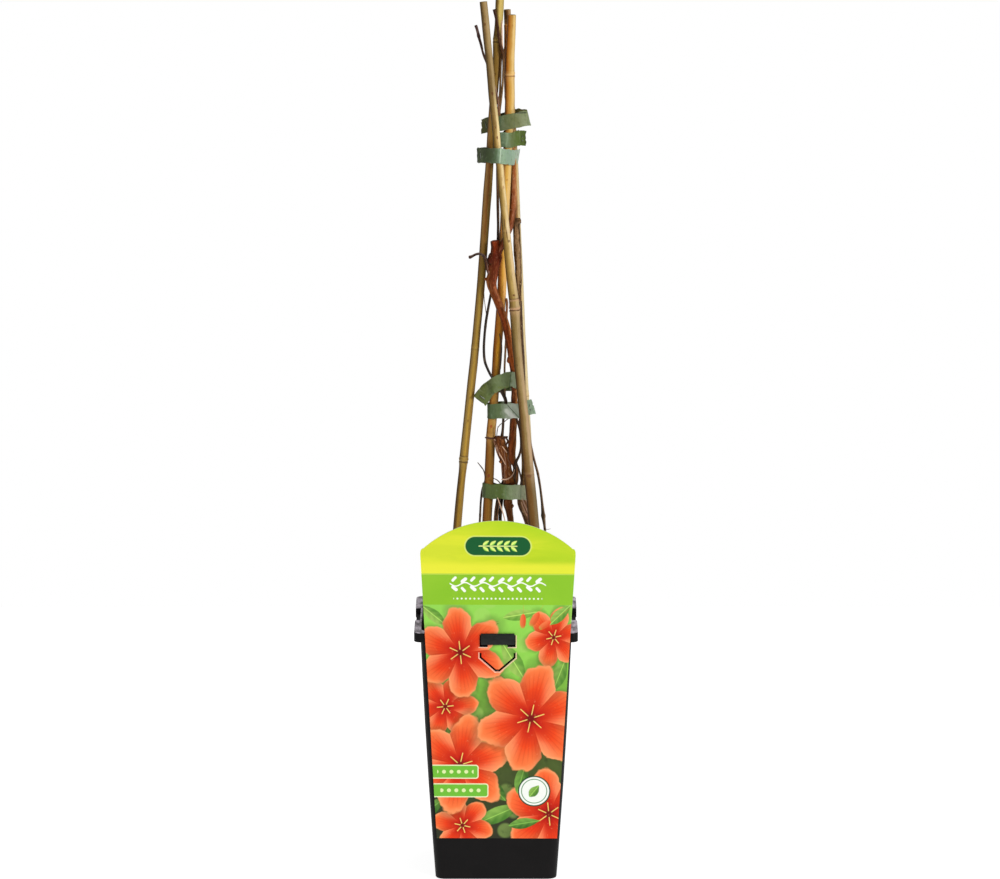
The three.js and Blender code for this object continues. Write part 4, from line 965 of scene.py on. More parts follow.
def make_canes():
    for name, cane in CANES.items():
        colours = CANE_COLOURS[name]
        look = cane_look(name + "_skin", colours)
        part = cane_mesh(cane, colours["joints"], colours["collar"])
        piece(name.replace("cane", "stake"), part, look, [name])


# ------------------------------------------------------------------------------------------------
# The vine
# ------------------------------------------------------------------------------------------------

STOCK = [
    (9, 1, 128, 2.2), (8, 0, 146, 4.4), (10, -2, 168, 7.5), (9.5, -3, 186, 9.5),
    (9.5, -3.5, 197, 8.6), (9.8, -4, 203, 5.6),
]

# Rounded lumps on the bark, as centre and half size.
LUMPS = {
    "crown": ((9.7, -3, 192), (12.5, 9.5, 6.5)), "stub": ((-2.6, -8, 504), (4.4, 4.2, 6.4)),
    "stub_side": ((-4.4, -9.4, 497), (2.4, 2, 4.2)),
    "stub_bud": ((-7.2, -8.6, 488.4), (2.5, 1.5, 1.5)),
    "bend_bud": ((10.1, -9.6, 422.6), (1.5, 1.4, 2.6)),
    "low_bud": ((12.7, -6.6, 301.6), (1.6, 1.5, 2.1)),
}
LUMP_SIDES = 18
LUMP_RINGS = 12

# How each stem is made: sides round it, step along it, depth of its ridges and their width.
STEM_BARK = {
    "main": (26, 1, 0.34, 1.3), "upper": (20, 1.1, 0.14, 0.9), "right": (24, 1.1, 0.3, 1.1),
    "spur": (14, 0.6, 0.15, 0.8), "barky": (26, 0.8, 0.55, 1.2), "barkySpur": (14, 0.6, 0.3, 0.9),
    "dark": (16, 1.4, 0.16, 0.9), "darkSecond": (14, 1.4, 0.12, 0.8),
    "shoot": (14, 1.2, 0.06, 0.8), "topBlack": (10, 1.2, 0.04, 0.8),
    "topLeft": (12, 1.1, 0.08, 0.8), "topLeftTwig": (10, 0.6, 0.05, 0.8),
    "sideTwig": (14, 0.8, 0.12, 0.8), "grey": (12, 1.2, 0.06, 0.7),
    "darkRight": (12, 1.2, 0.07, 0.7), "rightThin": (14, 1.3, 0.09, 0.8),
    "leftThin": (12, 1.3, 0.08, 0.8),
}

# Nodes of the stems: height, added radius and half length.
STEM_NODES = {
    "main": [(303, 0.7, 3), (350, 0.35, 2.4), (378, 0.3, 2.5), (412, 0.35, 2.5), (440, 0.4, 2.2)],
    "upper": [(530, 0.3, 2), (559, 0.35, 1.8), (584, 0.3, 1.6), (634, 0.3, 1.6), (672, 0.5, 1.4)],
    "right": [(532, 0.5, 1.8), (482, 0.35, 2.2), (440, 0.3, 2), (398, 0.35, 2.2), (300, 0.6, 3)],
    "shoot": [
        (621, 0.35, 1.4), (673, 0.4, 1.2), (691, 0.3, 1.2), (449, 0.25, 1.2), (501, 0.25, 1),
    ],
    "topLeft": [(648, 0.3, 1), (684, 0.5, 1.2)], "sideTwig": [(497, 0.3, 1)],
    "rightThin": [(295, 0.6, 1.6), (330, 0.3, 1.4), (355, 0.3, 1.3), (240, 0.3, 1.6)],
    "leftThin": [(244, 0.3, 1.4), (293, 0.3, 1.3)], "grey": [(432, 0.3, 1)],
    "dark": [(290, 0.3, 1.5), (250, 0.3, 1.6)],
}

# Bark colours by height for the middle and the two edges, then the marks on them. The edge
# colours paint the light across each stem: painted shade where darker, painted highlight where
# paler.
BARK = {
    "main": {
        "stems": ["main"],
        "middle": [
            (300, (110, 60, 25)), (355, (155, 75, 25)), (395, (110, 55, 20)),
            (420, (165, 80, 25)), (452, (160, 70, 20)), (480, (110, 50, 15)), (506, (95, 30, 10)),
            (516, (140, 50, 10)),
        ],
        "left": [
            (320, (75, 40, 15)), (355, (110, 60, 20)), (380, (65, 30, 10)), (460, (105, 45, 10)),
            (486, (150, 85, 30)), (502, (70, 25, 5)),
        ],
        "right": [
            (330, (170, 120, 70)), (400, (205, 135, 75)), (440, (250, 155, 85)),
            (466, (245, 160, 100)), (486, (180, 95, 60)), (504, (140, 55, 25)),
        ],
        "pale": (190, 122, 80), "dark": (56, 20, 8), "pores": 0.5, "peel": 0.35, "rough": 0.42,
    },
    "upper": {
        "stems": ["upper"],
        "middle": [
            (505, (130, 45, 15)), (530, (155, 85, 50)), (590, (160, 90, 40)),
            (668, (245, 170, 85)),
        ],
        "left": [
            (500, (95, 35, 5)), (535, (115, 60, 20)), (555, (80, 30, 5)), (577, (150, 100, 40)),
        ],
        "right": [
            (510, (110, 55, 25)), (538, (100, 60, 30)), (556, (200, 145, 90)),
            (577, (205, 150, 80)), (693, (250, 190, 110)),
        ],
        "pale": (220, 172, 134), "dark": (64, 22, 8), "pores": 0.5, "peel": 0.15, "rough": 0.36,
    },
    "right": {
        "stems": ["right", "spur"],
        "middle": [
            (260, (110, 80, 50)), (300, (190, 140, 95)), (335, (100, 75, 30)),
            (400, (125, 95, 55)), (470, (70, 40, 20)), (488, (160, 125, 80)),
            (526, (170, 130, 90)), (538, (80, 50, 30)),
        ],
        "left": [
            (300, (50, 35, 15)), (330, (100, 70, 20)), (400, (70, 45, 15)), (520, (65, 40, 10)),
            (532, (90, 60, 20)),
        ],
        "right": [
            (270, (135, 100, 65)), (302, (200, 155, 110)), (335, (105, 75, 35)),
            (440, (85, 55, 25)), (530, (60, 45, 25)),
        ],
        "pale": (206, 170, 132), "dark": (46, 26, 8), "pores": 0.85, "peel": 0.45, "rough": 0.5,
    },
    "barky": {
        "stems": ["barky", "barkySpur"], "middle": [(330, (130, 70, 25)), (364, (105, 55, 20))],
        "left": [(320, (80, 40, 20)), (364, (90, 50, 25))],
        "right": [(320, (180, 110, 50)), (345, (200, 125, 60)), (364, (145, 80, 35))],
        "pale": (210, 150, 104), "dark": (54, 26, 10), "pores": 0.2, "peel": 0.9, "rough": 0.6,
    },
    "dark": {
        "stems": ["dark", "darkSecond"], "middle": [(280, (45, 35, 10)), (330, (70, 40, 20))],
        "left": [(190, (20, 15, 5)), (330, (25, 15, 5))],
        "right": [(190, (80, 60, 30)), (330, (90, 60, 30))], "pale": (176, 136, 108),
        "dark": (34, 26, 24), "pores": 0.4, "peel": 0.4, "rough": 0.5,
    },
    "shoot": {
        "stems": ["shoot", "topBlack"],
        "middle": [
            (365, (100, 75, 55)), (405, (45, 40, 35)), (485, (45, 40, 35)), (530, (35, 20, 10)),
            (575, (115, 75, 45)), (650, (145, 110, 70)), (672, (80, 45, 20)), (706, (50, 25, 10)),
        ],
        "left": [
            (350, (45, 30, 25)), (560, (30, 20, 20)), (620, (95, 60, 40)), (650, (105, 80, 50)),
            (672, (70, 35, 10)),
        ],
        "right": [
            (350, (80, 65, 55)), (560, (85, 70, 55)), (650, (150, 120, 85)), (676, (95, 55, 30)),
            (700, (70, 40, 20)),
        ],
        "pale": (170, 138, 112), "dark": (24, 16, 14), "pores": 0.35, "peel": 0.1, "rough": 0.34,
    },
    "twig": {
        "stems": ["topLeft", "topLeftTwig", "sideTwig"],
        "middle": [
            (488, (120, 65, 35)), (508, (60, 45, 35)), (618, (130, 85, 55)), (665, (120, 90, 75)),
            (685, (70, 45, 40)),
        ],
        "left": [
            (488, (80, 40, 20)), (508, (40, 30, 25)), (650, (85, 55, 40)), (694, (45, 25, 30)),
        ],
        "right": [
            (488, (170, 110, 70)), (508, (115, 90, 80)), (660, (185, 150, 130)),
            (694, (130, 90, 90)),
        ],
        "pale": (214, 176, 164), "dark": (36, 22, 22), "pores": 0.3, "peel": 0.1, "rough": 0.38,
    },
    "grey": {
        "stems": ["grey"],
        "middle": [
            (390, (150, 125, 90)), (422, (190, 150, 105)), (445, (135, 70, 30)),
            (458, (185, 115, 65)), (482, (85, 50, 25)),
        ],
        "left": [(430, (110, 85, 60)), (450, (85, 45, 25)), (482, (40, 25, 15))],
        "right": [
            (430, (180, 140, 120)), (445, (110, 60, 30)), (460, (150, 110, 85)),
            (482, (90, 60, 40)),
        ],
        "pale": (206, 198, 196), "dark": (60, 52, 54), "pores": 0.2, "peel": 0.1, "rough": 0.45,
    },
    "thin": {
        "stems": ["rightThin", "leftThin", "darkRight"],
        "middle": [
            (190, (60, 50, 40)), (290, (80, 65, 45)), (302, (65, 50, 35)), (345, (90, 65, 45)),
            (384, (80, 50, 40)),
        ],
        "left": [(190, (35, 30, 25)), (384, (45, 30, 30))],
        "right": [(190, (110, 95, 70)), (384, (140, 105, 80))], "pale": (170, 144, 112),
        "dark": (32, 26, 22), "pores": 0.3, "peel": 0.15, "rough": 0.42,
    },
}

# Loose fibres and tendrils: [x, y, z, radius] rows and whether each is pale.
STRANDS = [
    (
        [
            (-1.2, -7, 356.6, 0.35), (2.4, -7.9, 353.8, 0.55), (5.6, -8.4, 350.4, 0.55),
            (8.7, -9.2, 346.4, 0.4),
        ],
        True,
    ),
    (
        [
            (-0.4, -6.8, 351.6, 0.3), (2, -7.8, 346.6, 0.5), (4.9, -8.8, 341.6, 0.5),
            (7.6, -9.6, 336.6, 0.35),
        ],
        True,
    ),
    (
        [
            (4.7, -2.6, 695.5, 0.45), (4.7, -2.6, 687.5, 0.6), (4.9, -2.8, 679.5, 0.6),
            (5.3, -3.8, 673.3, 0.6),
        ],
        True,
    ),
    (
        [
            (2.7, -3.9, 442.8, 0.35), (4.4, -3.8, 433.7, 0.6), (3.8, -3.9, 421.5, 0.8),
            (3.4, -4.2, 414.1, 0.5),
        ],
        False,
    ),
    (
        [
            (16.3, -9.5, 338.7, 0.6), (18.4, -10.5, 332.7, 0.75), (20, -12.6, 326.9, 0.75),
            (20.9, -13.2, 321.3, 0.6),
        ],
        False,
    ),
    (
        [
            (4.6, -10.2, 324.4, 0.5), (8.1, -10.8, 324.6, 0.62), (11.3, -10.8, 326, 0.55),
            (13.8, -10.4, 328.8, 0.45), (15, -9.6, 332.6, 0.25),
        ],
        True,
    ),
    (
        [
            (1.2, -9, 309, 0.3), (2.8, -9.9, 304.6, 0.5), (4.6, -9.8, 299.4, 0.5),
            (6.6, -9, 292.6, 0.4), (8, -7.6, 285, 0.25),
        ],
        True,
    ),
    (
        [
            (12.4, -9.4, 378.6, 0.3), (11, -10.4, 375.5, 0.34), (8.4, -10.4, 373.5, 0.36),
            (6, -9.8, 371.4, 0.36), (3.2, -8.2, 369.1, 0.36), (1.6, -7.4, 366.6, 0.3),
        ],
        False,
    ),
    (
        [
            (-8.4, -4.4, 325, 0.3), (-9.9, -4.9, 330.3, 0.28), (-12.2, -5.2, 333.6, 0.22),
            (-14.6, -5.2, 336.7, 0.14),
        ],
        False,
    ),
    (
        [
            (20.5, 10, 467, 0.4), (20.9, 12.4, 452, 0.62), (21.3, 12.7, 438, 0.75),
            (22.2, 13.2, 424, 0.7), (22.9, 14, 409, 0.62), (23.4, 14.8, 397, 0.35),
        ],
        False,
    ),
    ([(1.6, -7.6, 367.4, 0.3), (0.9, -7.2, 363.4, 0.4), (0.5, -6.6, 358.6, 0.3)], False),
    (
        [
            (21.2, -15.3, 309.6, 0.3), (22.6, -15.6, 306, 0.5), (24.4, -15.2, 301.9, 0.55),
            (26.2, -14.8, 296.9, 0.5), (28.6, -14, 291.6, 0.4),
        ],
        True,
    ),
    (
        [
            (23.6, -14.8, 309.4, 0.3), (25.2, -15, 305.2, 0.45), (26.8, -14.6, 300.6, 0.5),
            (28.4, -14, 295.4, 0.4), (29.8, -13.2, 291.8, 0.3),
        ],
        True,
    ),
    (
        [
            (20.6, -14.6, 306.4, 0.3), (22.4, -15, 301.4, 0.4), (24.8, -14.6, 296, 0.45),
            (26.8, -14, 291.4, 0.3),
        ],
        True,
    ),
    (
        [
            (25.4, -13.6, 310, 0.3), (27, -13.8, 305.6, 0.4), (28.6, -13.6, 300.4, 0.35),
            (30.2, -12.6, 294.6, 0.3),
        ],
        True,
    ),
    ([(3.4, -5.6, 320.4, 0.5), (0.8, -7.2, 323.3, 0.45), (-2.3, -7.8, 325, 0.28)], False),
    ([(38.6, -13, 285.6, 0.28), (41.2, -12.6, 283.6, 0.22), (44.2, -12.2, 284, 0.14)], False),
    (
        [
            (-9.7, -4.8, 479, 0.2), (-9.3, -5, 470.4, 0.26), (-8.2, -5.2, 462, 0.3),
            (-7.6, -5.2, 456.4, 0.2),
        ],
        False,
    ),
]

# Strips of old bark along a stem: the stem, the heights between which they lie, or None for the
# whole stem, how many there are and how thick each is.
BARK_STRIPS = [
    ("barky", None, None, 22, 0.42), ("right", 204, 318, 34, 0.42), ("main", 206, 300, 14, 0.26),
    ("main", 322, 352, 8, 0.28), ("dark", 200, 322, 6, 0.2),
]
STRIP_TURN = 0.9
STRIP_STEP = 1.6
STRIP_SHORT = 7.0
STRIP_LEAST = 12.0

# How far a strip lies off the bark, and how much further its ends may peel away.
STRIP_LIFT = 0.12
STRIP_PEEL = 0.5


def bark_relief(path, name, seed):
    """Long ridges that run into one another, with swollen nodes."""
    depth, wide = STEM_BARK[name][2:]
    nodes = [(path.along_at_height(z), grow, half) for z, grow, half in STEM_NODES.get(name, [])]

    def relief(skin, along, radius):
        ridges = rough(skin * (1, 1, 0.10), wide, seed)
        ridges = ridges + 0.5 * rough(skin * (1, 1, 0.2), wide / 2, seed + 1)
        lumps = rough(skin * (1, 1, 0.6), 3.2, seed + 2) * 0.6
        swell = sum((grow * hump(along, at, half) for at, grow, half in nodes), 0 * along)
        return depth * (ridges * 0.7 + lumps) * np.minimum(1, radius / 1.6) + swell * 0.5

    return relief


def stock_relief(skin, along, radius):
    return 0.6 * rough(skin, 3.0, 5)


def stem_mesh(name, seed):
    path = Path(STEMS[name])
    sides, step = STEM_BARK[name][:2]
    return tube(path, sides, step, bark_relief(path, name, seed))


def lump_mesh(at, half, seed):
    """A rounded lump, laid out as a short upright stem."""
    rise = np.linspace(-0.97, 0.97, LUMP_RINGS)
    rows = [(at[0], at[1], at[2] + half[2] * share, math.sqrt(1 - share**2)) for share in rise]
    made = tube(rows, LUMP_SIDES, step=half[2] / LUMP_RINGS, carried=False)
    centre = np.array(at)
    away = made["verts"] - centre
    uneven = 1 + 0.09 * rough(away, max(half) * 0.5, seed) + 0.05 * rough(away, 1.0, seed)
    made["verts"] = centre + away * (half[0], half[1], 1) * uneven[:, None]
    made["skin"] = away
    return made


def strip_meshes():
    """Thin strips of bark that lie along the stems, each starting and ending at its own place."""
    chance = np.random.default_rng(7)
    made = []
    for name, low, high, count, thick in BARK_STRIPS:
        path = Path(STEMS[name])
        start, end = 0, path.total
        if low:
            start, end = sorted(path.along_at_height(np.array([low, high])))
        for _ in range(count):
            first, last = np.sort(chance.uniform(start, end, 2))
            if last - first < STRIP_SHORT:
                last = min(first + STRIP_LEAST, end)
            along = np.linspace(first, last, max(4, int((last - first) / STRIP_STEP)))
            centre, radius, ahead = path.at(along)
            side, front = ring_frames(ahead, False)
            angle = chance.uniform(0, 2 * math.pi)
            angle = angle + chance.uniform(-1, 1) * STRIP_TURN * (along - first) / 20
            share = (along - first) / (last - first)
            peel = STRIP_PEEL * chance.uniform(0, 1)
            lift = radius + STRIP_LIFT + peel * np.abs(2 * share - 1) ** 6
            out = np.cos(angle)[:, None] * side + np.sin(angle)[:, None] * front
            taper = thick * np.clip(np.minimum(share, 1 - share) * 6, 0.3, 1)
            rows = np.hstack([centre + out * lift[:, None], taper[:, None]])
            made.append(tube(rows, 6, STRIP_STEP, ends=(POINTED, POINTED)))
    return made


def bark_look(name, bark):
    look = Look(name)
    skin = look.attribute("skin")
    across, _, _ = look.split(look.attribute("turn"))
    height = look.split(look.place())[2]
    waver = look.noise(skin, 0.35, 3) - 0.5
    shifted = across + waver * 0.9
    look.colour = look.along(height + waver * 6, bark["middle"])
    # The edges take painted light: painted shade where their colours are darker, painted highlight
    # where paler.
    left = look.along(height, bark["left"])
    right = look.along(height, bark["right"])
    look.lay(look.smooth(-0.2, -0.8, shifted), left)
    look.lay(look.smooth(0.2, 0.8, shifted) * 0.85, right)
    grain = look.grain(skin, 0.09, 1.5, 6, 0.7)
    look.lay(look.smooth(0.5, 0.3, grain) * 0.7, bark["dark"])
    fissures = look.grain(skin, 0.13, 0.6, 4, 0.65, 0.4)
    look.lay(look.smooth(0.47, 0.36, fissures) * 0.6, bark["dark"])
    look.lay(look.smooth(0.54, 0.7, fissures) * 0.35, bark["pale"])
    flakes = look.grain(skin, 0.16, 1.0, 5, 0.72, 0.6)
    look.lay(look.smooth(0.56, 0.66, flakes) * bark["peel"], bark["pale"])
    pores = look.cells(look.scaled(skin, (1, 1, 0.55)), 0.75)
    chosen = look.smooth(0.5, 0.6, look.noise(skin, 0.5, 2))
    seen = look.smooth(0.26, 0.16, pores) * chosen * bark["pores"]
    look.lay(seen, bark["pale"])
    look.surface(look.smooth(-0.5, 1.4, grain) * 0.3 + bark["rough"] - 0.12, 0.1)
    look.bump(grain * 0.55 + flakes * 0.35 + seen * 0.3, 0.7, 0.4)
    return look


def strand_look(name, pale, dark):
    look = Look(name)
    grain = look.grain(look.attribute("skin"), 0.1, 2.0, 4, 0.7)
    look.colour = look.ramp(grain, [(0.3, dark), (0.66, pale)])
    look.surface(0.6)
    look.bump(grain, 0.4, 0.15)
    return look


def make_vine():
    for number, (name, bark) in enumerate(BARK.items()):
        parts = [stem_mesh(stem, 10 * number + i) for i, stem in enumerate(bark["stems"])]
        if name == "main":
            parts.append(tube(STOCK, 30, 2.5, stock_relief))
            parts += [lump_mesh(at, half, 40 + i) for i, (at, half) in enumerate(LUMPS.values())]
        piece("vine_" + name, joined(parts), bark_look("bark_" + name, bark), ["vine"])
    tendrils, hairs = [
        [tube(rows, 8, 0.8, ends=(POINTED, POINTED)) for rows, pale in STRANDS if pale == wanted]
        for wanted in (True, False)
    ]
    for name, parts, look, light, dark in (
        ("vine_tendrils", tendrils, "fibre_pale", (250, 212, 180), (196, 144, 110)),
        ("vine_hairs", hairs, "fibre_dark", (96, 70, 52), (44, 28, 20)),
        ("vine_strips", strip_meshes(), "fibre_bark", (206, 146, 108), (86, 48, 34)),
    ):
        piece(name, joined(parts), strand_look(look, light, dark), ["vine"])


# ------------------------------------------------------------------------------------------------
# Ties, staples and the wire
# ------------------------------------------------------------------------------------------------

TAPE = {"width": 12.3, "thick": 0.46, "layer_gap": 1.1, "step": 0.7, "across": 14}
STAPLE = {"crown": 5.0, "half": 1.57, "clinch": 1.6, "wire": 0.5, "bend": 0.4, "place": 0.45}
WIRE = {"loop": 0.62, "tail": 0.74, "sides": 12}
UP = np.array([0.0, 0.0, 1.0])

# Where a tape leans: the x where it starts and is full, and how far its top goes for its height.
TAPE_LEANS = {
    "tie_1": [(16, 25, -0.26), (-4, -9, 0.26)], "tie_3": [(10, 17, 0.17)],
    "tie_6": [(18, 26, -0.2)],
}

# Each tape's colours from its left end to its right, as (x in millimetres, display colour). Over
# the tape's own green, its paler stretches are painted highlight and its darker ones painted shade.
TAPE_COLOURS = {
    "tie_1": [
        (-13, (105, 105, 60)), (1, (70, 85, 50)), (15, (110, 115, 70)), (28, (140, 150, 110)),
    ],
    "tie_2": [
        (3, (60, 90, 55)), (8, (120, 140, 105)), (13, (100, 115, 65)), (21, (90, 110, 45)),
        (26, (60, 70, 30)),
    ],
    "tie_3": [
        (-16, (60, 65, 45)), (-3, (90, 105, 70)), (4, (145, 170, 140)), (12, (145, 170, 145)),
        (19, (175, 190, 170)),
    ],
    "tie_4": [
        (-10, (90, 100, 45)), (3, (120, 135, 90)), (11, (105, 120, 70)), (13, (160, 175, 140)),
        (18, (165, 180, 145)),
    ],
    "tie_5": [
        (-8, (70, 90, 55)), (3, (105, 125, 80)), (12, (195, 205, 185)), (24, (140, 160, 130)),
        (32, (150, 170, 145)),
    ],
    "tie_6": [
        (-11, (85, 100, 55)), (5, (100, 120, 55)), (12, (170, 190, 140)), (25, (215, 220, 185)),
    ],
}


def tape_path(tie):
    """From the tail's tip round the stems and back to the tip, as the two layers of the tail."""
    tip, root = np.array(tie["tip"]), np.array(tie["root"])
    aside = unit(np.cross(root - tip, UP)) * TAPE["layer_gap"] / 2
    tail = [tip, (tip + root) / 2, root]
    rows = [p + aside for p in tail] + [np.array(p) for p in tie["loop"]]
    return Path(rows + [p - aside for p in reversed(tail)])


def tape_mesh(name, tie, seed):
    """A tape with its folds, its ragged edges and its crumpled, uneven ends."""
    path = tape_path(tie)
    along = np.linspace(0, path.total, int(path.total / TAPE["step"]))
    centre, _, ahead = path.at(along)
    outward = unit(np.cross(ahead, UP))
    upward = np.cross(outward, ahead)
    across = np.linspace(-0.5, 0.5, TAPE["across"] + 1) * TAPE["width"]
    flat = np.stack(np.broadcast_arrays(along[:, None], across[None, :], 0.0), -1)
    from_tip = np.minimum(along, path.total - along)[:, None]
    loose = np.exp(-from_tip / 5.0)
    edge = (np.abs(flat[..., 1]) / (TAPE["width"] / 2)) ** 3
    folds = 0.16 * rough(flat * (1, 0.07, 1), 2.2, seed)
    folds += 0.09 * rough(flat * (1, 0.2, 1), 1.1, seed + 1)
    slanting = np.stack([flat[..., 0] + 0.6 * flat[..., 1], 0.2 * flat[..., 1], 0 * edge], -1)
    slants = 0.14 * rough(slanting, 3.5, seed + 2)
    curl = edge * 0.35 * rough(flat * (1, 0.02, 1), 6.0, seed + 3)
    crumple = loose * 0.3 * rough(flat, 3.0, seed + 4)
    push = folds + slants + curl + crumple
    frayed = 0.5 * rough(flat * (1, 0, 1), 3.5, seed + 5) * edge
    ends = 0.9 * rough(flat * (0, 1, 1), 3.0, seed + 6) * np.exp(-from_tip / 2.0)
    lift = (across[None, :] * (1 - 0.02 * edge) + frayed)[..., None] * upward[:, None]
    middle = centre[:, None] + lift + push[..., None] * outward[:, None]
    middle += ends[..., None] * ahead[:, None]
    for start, full, lean in TAPE_LEANS.get(name, ()):
        share = np.clip((middle[..., 0] - start) / (full - start), 0, 1)
        middle[..., 0] += lean * share * across[None, :]
    thick = TAPE["thick"] / 2 * (1 - 0.3 * edge)[..., None] * outward[:, None]
    return sheet(middle + thick, middle - thick, flat)


def sheet(front, back, flat):
    """A closed sheet from two grids of points."""
    rows, columns = front.shape[:2]
    count = rows * columns
    grid = np.arange(count).reshape(rows, columns)
    faces = []
    for i in range(rows - 1):
        for j in range(columns - 1):
            corners = [grid[i, j], grid[i + 1, j], grid[i + 1, j + 1], grid[i, j + 1]]
            faces.append(tuple(int(c) for c in corners))
            faces.append(tuple(int(c) + count for c in reversed(corners)))
    border = [*grid[0, :], *grid[1:, -1], *grid[-1, -2::-1], *grid[-2:0:-1, 0]]
    for first, second in zip(border, border[1:] + border[:1]):
        faces.append((int(first), int(second), int(second) + count, int(first) + count))
    verts = np.concatenate([front.reshape(-1, 3), back.reshape(-1, 3)])
    return {"verts": verts, "faces": faces, "skin": np.concatenate([flat.reshape(-1, 3)] * 2)}


# Painted light on the front faces: painted shade along folds and painted highlights where they
# shine, each from (x, z) to (x, z), half width, colour and strength.
TAPE_FOLD_LIGHT = {
    "tie_1": [
        (15, 622.4, 26, 622, 1.1, (50, 60, 34), 0.8),
        (14.4, 609, 15, 624, 0.5, (86, 96, 56), 0.6),
        (25.4, 612, 26, 622, 0.8, (92, 106, 74), 0.5),
        (-12.5, 604, -11.5, 616, 0.9, (66, 66, 34), 0.6),
        (2, 606, 4, 622, 1.2, (70, 94, 62), 0.5),
    ],
    "tie_2": [
        (8.2, 594, 9.4, 607, 0.9, (140, 160, 124), 0.6),
        (12.2, 594, 13.4, 607, 1, (92, 104, 56), 0.6),
        (18.6, 594, 19.4, 608, 0.6, (56, 66, 28), 0.8),
        (23.6, 594, 24.4, 608, 1.2, (50, 60, 28), 0.8),
        (16, 606.6, 24, 607.4, 1.1, (60, 68, 38), 0.8),
    ],
    "tie_3": [
        (2.8, 581, 3.9, 596, 0.6, (206, 224, 196), 0.75),
        (-2.5, 582, 0.5, 594, 1.6, (96, 122, 80), 0.6),
        (-15.5, 583, -14.6, 593, 1.1, (42, 50, 32), 0.8),
        (-12, 593.4, -7, 593.8, 1, (52, 60, 38), 0.7),
        (-12, 582, -5, 581.6, 1.2, (62, 80, 40), 0.6),
    ],
    "tie_4": [
        (10.8, 400, 12.2, 414, 0.7, (74, 92, 58), 0.85),
        (-8, 388, -1, 402, 2.2, (96, 112, 56), 0.6),
        (2, 400, 12, 400.4, 1.4, (110, 124, 50), 0.5),
        (-12, 390, -3, 400.4, 1, (84, 96, 52), 0.5),
    ],
    "tie_5": [
        (9.6, 385.6, 18.2, 376.4, 0.55, (76, 92, 66), 0.9),
        (8.6, 381, 16.4, 374.4, 3, (232, 236, 222), 0.85),
        (14.4, 386, 20, 380, 2.4, (206, 214, 194), 0.6),
        (-6, 374, -5.4, 386, 1.2, (62, 80, 46), 0.6),
    ],
    "tie_6": [
        (7.6, 307, 8, 320, 0.7, (120, 150, 100), 0.5),
        (19.6, 307, 20.2, 320, 0.5, (112, 142, 104), 0.6),
        (-9.6, 307, -9, 320, 1.4, (66, 78, 44), 0.6),
    ],
}


def tape_look(name, colours):
    look = Look(name.replace("tie", "tape"))
    x, y, z = look.split(look.place())
    skin = look.attribute("skin")
    waver = look.noise(skin, 0.35, 3) - 0.5
    # The colours along x hold painted highlight and painted shade over the tape's own green.
    look.colour = look.along(x + waver * 7, colours)
    clouds = look.noise(look.scaled(skin, (1, 0.5, 1)), 0.4, 4, 0.6)
    look.lay(look.smooth(0.55, 0.75, clouds) * 0.3, (156, 172, 140))
    look.lay(look.smooth(0.46, 0.3, clouds) * 0.45, (84, 92, 44))
    creases = look.noise(look.scaled(skin, (1, 0.08, 1)), 1.1, 3, 0.6)
    # Painted shade: darker in the creases.
    look.lay(look.smooth(0.4, 0.33, creases) * 0.3, (60, 78, 44))
    dirt = look.noise(skin, 1.6, 5, 0.7)
    look.lay(look.smooth(0.62, 0.72, dirt) * 0.45, (120, 104, 62))
    # Painted light on the front faces only: painted shade along the folds and painted highlight on
    # their sheens.
    ahead = look.smooth(-0.5, -2.0, y)
    for x0, z0, x1, z1, wide, shade, strength in TAPE_FOLD_LIGHT[name]:
        near = look.smooth(1.0, 0.25, look.line_distance(x, z, (x0, z0), (x1, z1)) / wide)
        look.lay(near * ahead * strength, shade)
    look.surface(look.smooth(0.1, 1.2, dirt) * 0.3 + 0.34, 0.3)
    look.set("Subsurface Weight", 0.12)
    look.set("Subsurface Radius", (0.4, 0.6, 0.3))
    look.set("Subsurface Scale", 0.002)
    look.bump(creases * 0.6 + dirt * 0.25, 0.5, 0.25)
    return look


def staple_mesh(tie):
    tip, root = np.array(tie["tip"]), np.array(tie["root"])
    ahead = unit(root - tip)
    outward = unit(np.cross(ahead, UP))
    across = np.cross(outward, ahead)
    middle = tip + (root - tip) * STAPLE["place"]
    half, bend = STAPLE["half"], STAPLE["bend"]
    side = (STAPLE["crown"] - STAPLE["wire"]) / 2
    inner = side - STAPLE["clinch"] + STAPLE["wire"] / 2
    flat = [
        (-inner, -half), (-side + bend, -half), (-side + bend * 0.3, -half + bend * 0.3),
        (-side, -half + bend), (-side, half - bend), (-side + bend * 0.3, half - bend * 0.3),
        (-side + bend, half),
    ]
    line = flat + [(-x, y) for x, y in reversed(flat)]
    points = [middle + across * x + outward * y for x, y in line]
    rows = [(*point, STAPLE["wire"] / 2) for point in points]
    return tube(rows, 10, 0.16)


def wire_mesh():
    """The wire's loop and its tail, each with the ridges of two twisted strands."""

    def twist(skin, along, radius):
        angle = np.arctan2(skin[..., 1], skin[..., 0])
        return 0.12 * radius * np.cos(2 * angle - along * 2.4)

    return joined([
        tube([(*p, WIRE["loop"]) for p in WIRE_LOOP], WIRE["sides"], 0.4, twist),
        tube([(*p, WIRE["tail"]) for p in WIRE_TAIL], WIRE["sides"], 0.25, twist),
    ])


def metal_look(name, colour, mottle, roughness, metallic):
    look = Look(name, colour)
    if mottle:
        grain = look.noise(look.attribute("skin"), 1.4, 4, 0.7)
        look.colour = look.ramp(grain, [(0.35, colour), (0.65, mottle)])
    look.surface(roughness)
    look.set("Metallic", metallic)
    return look


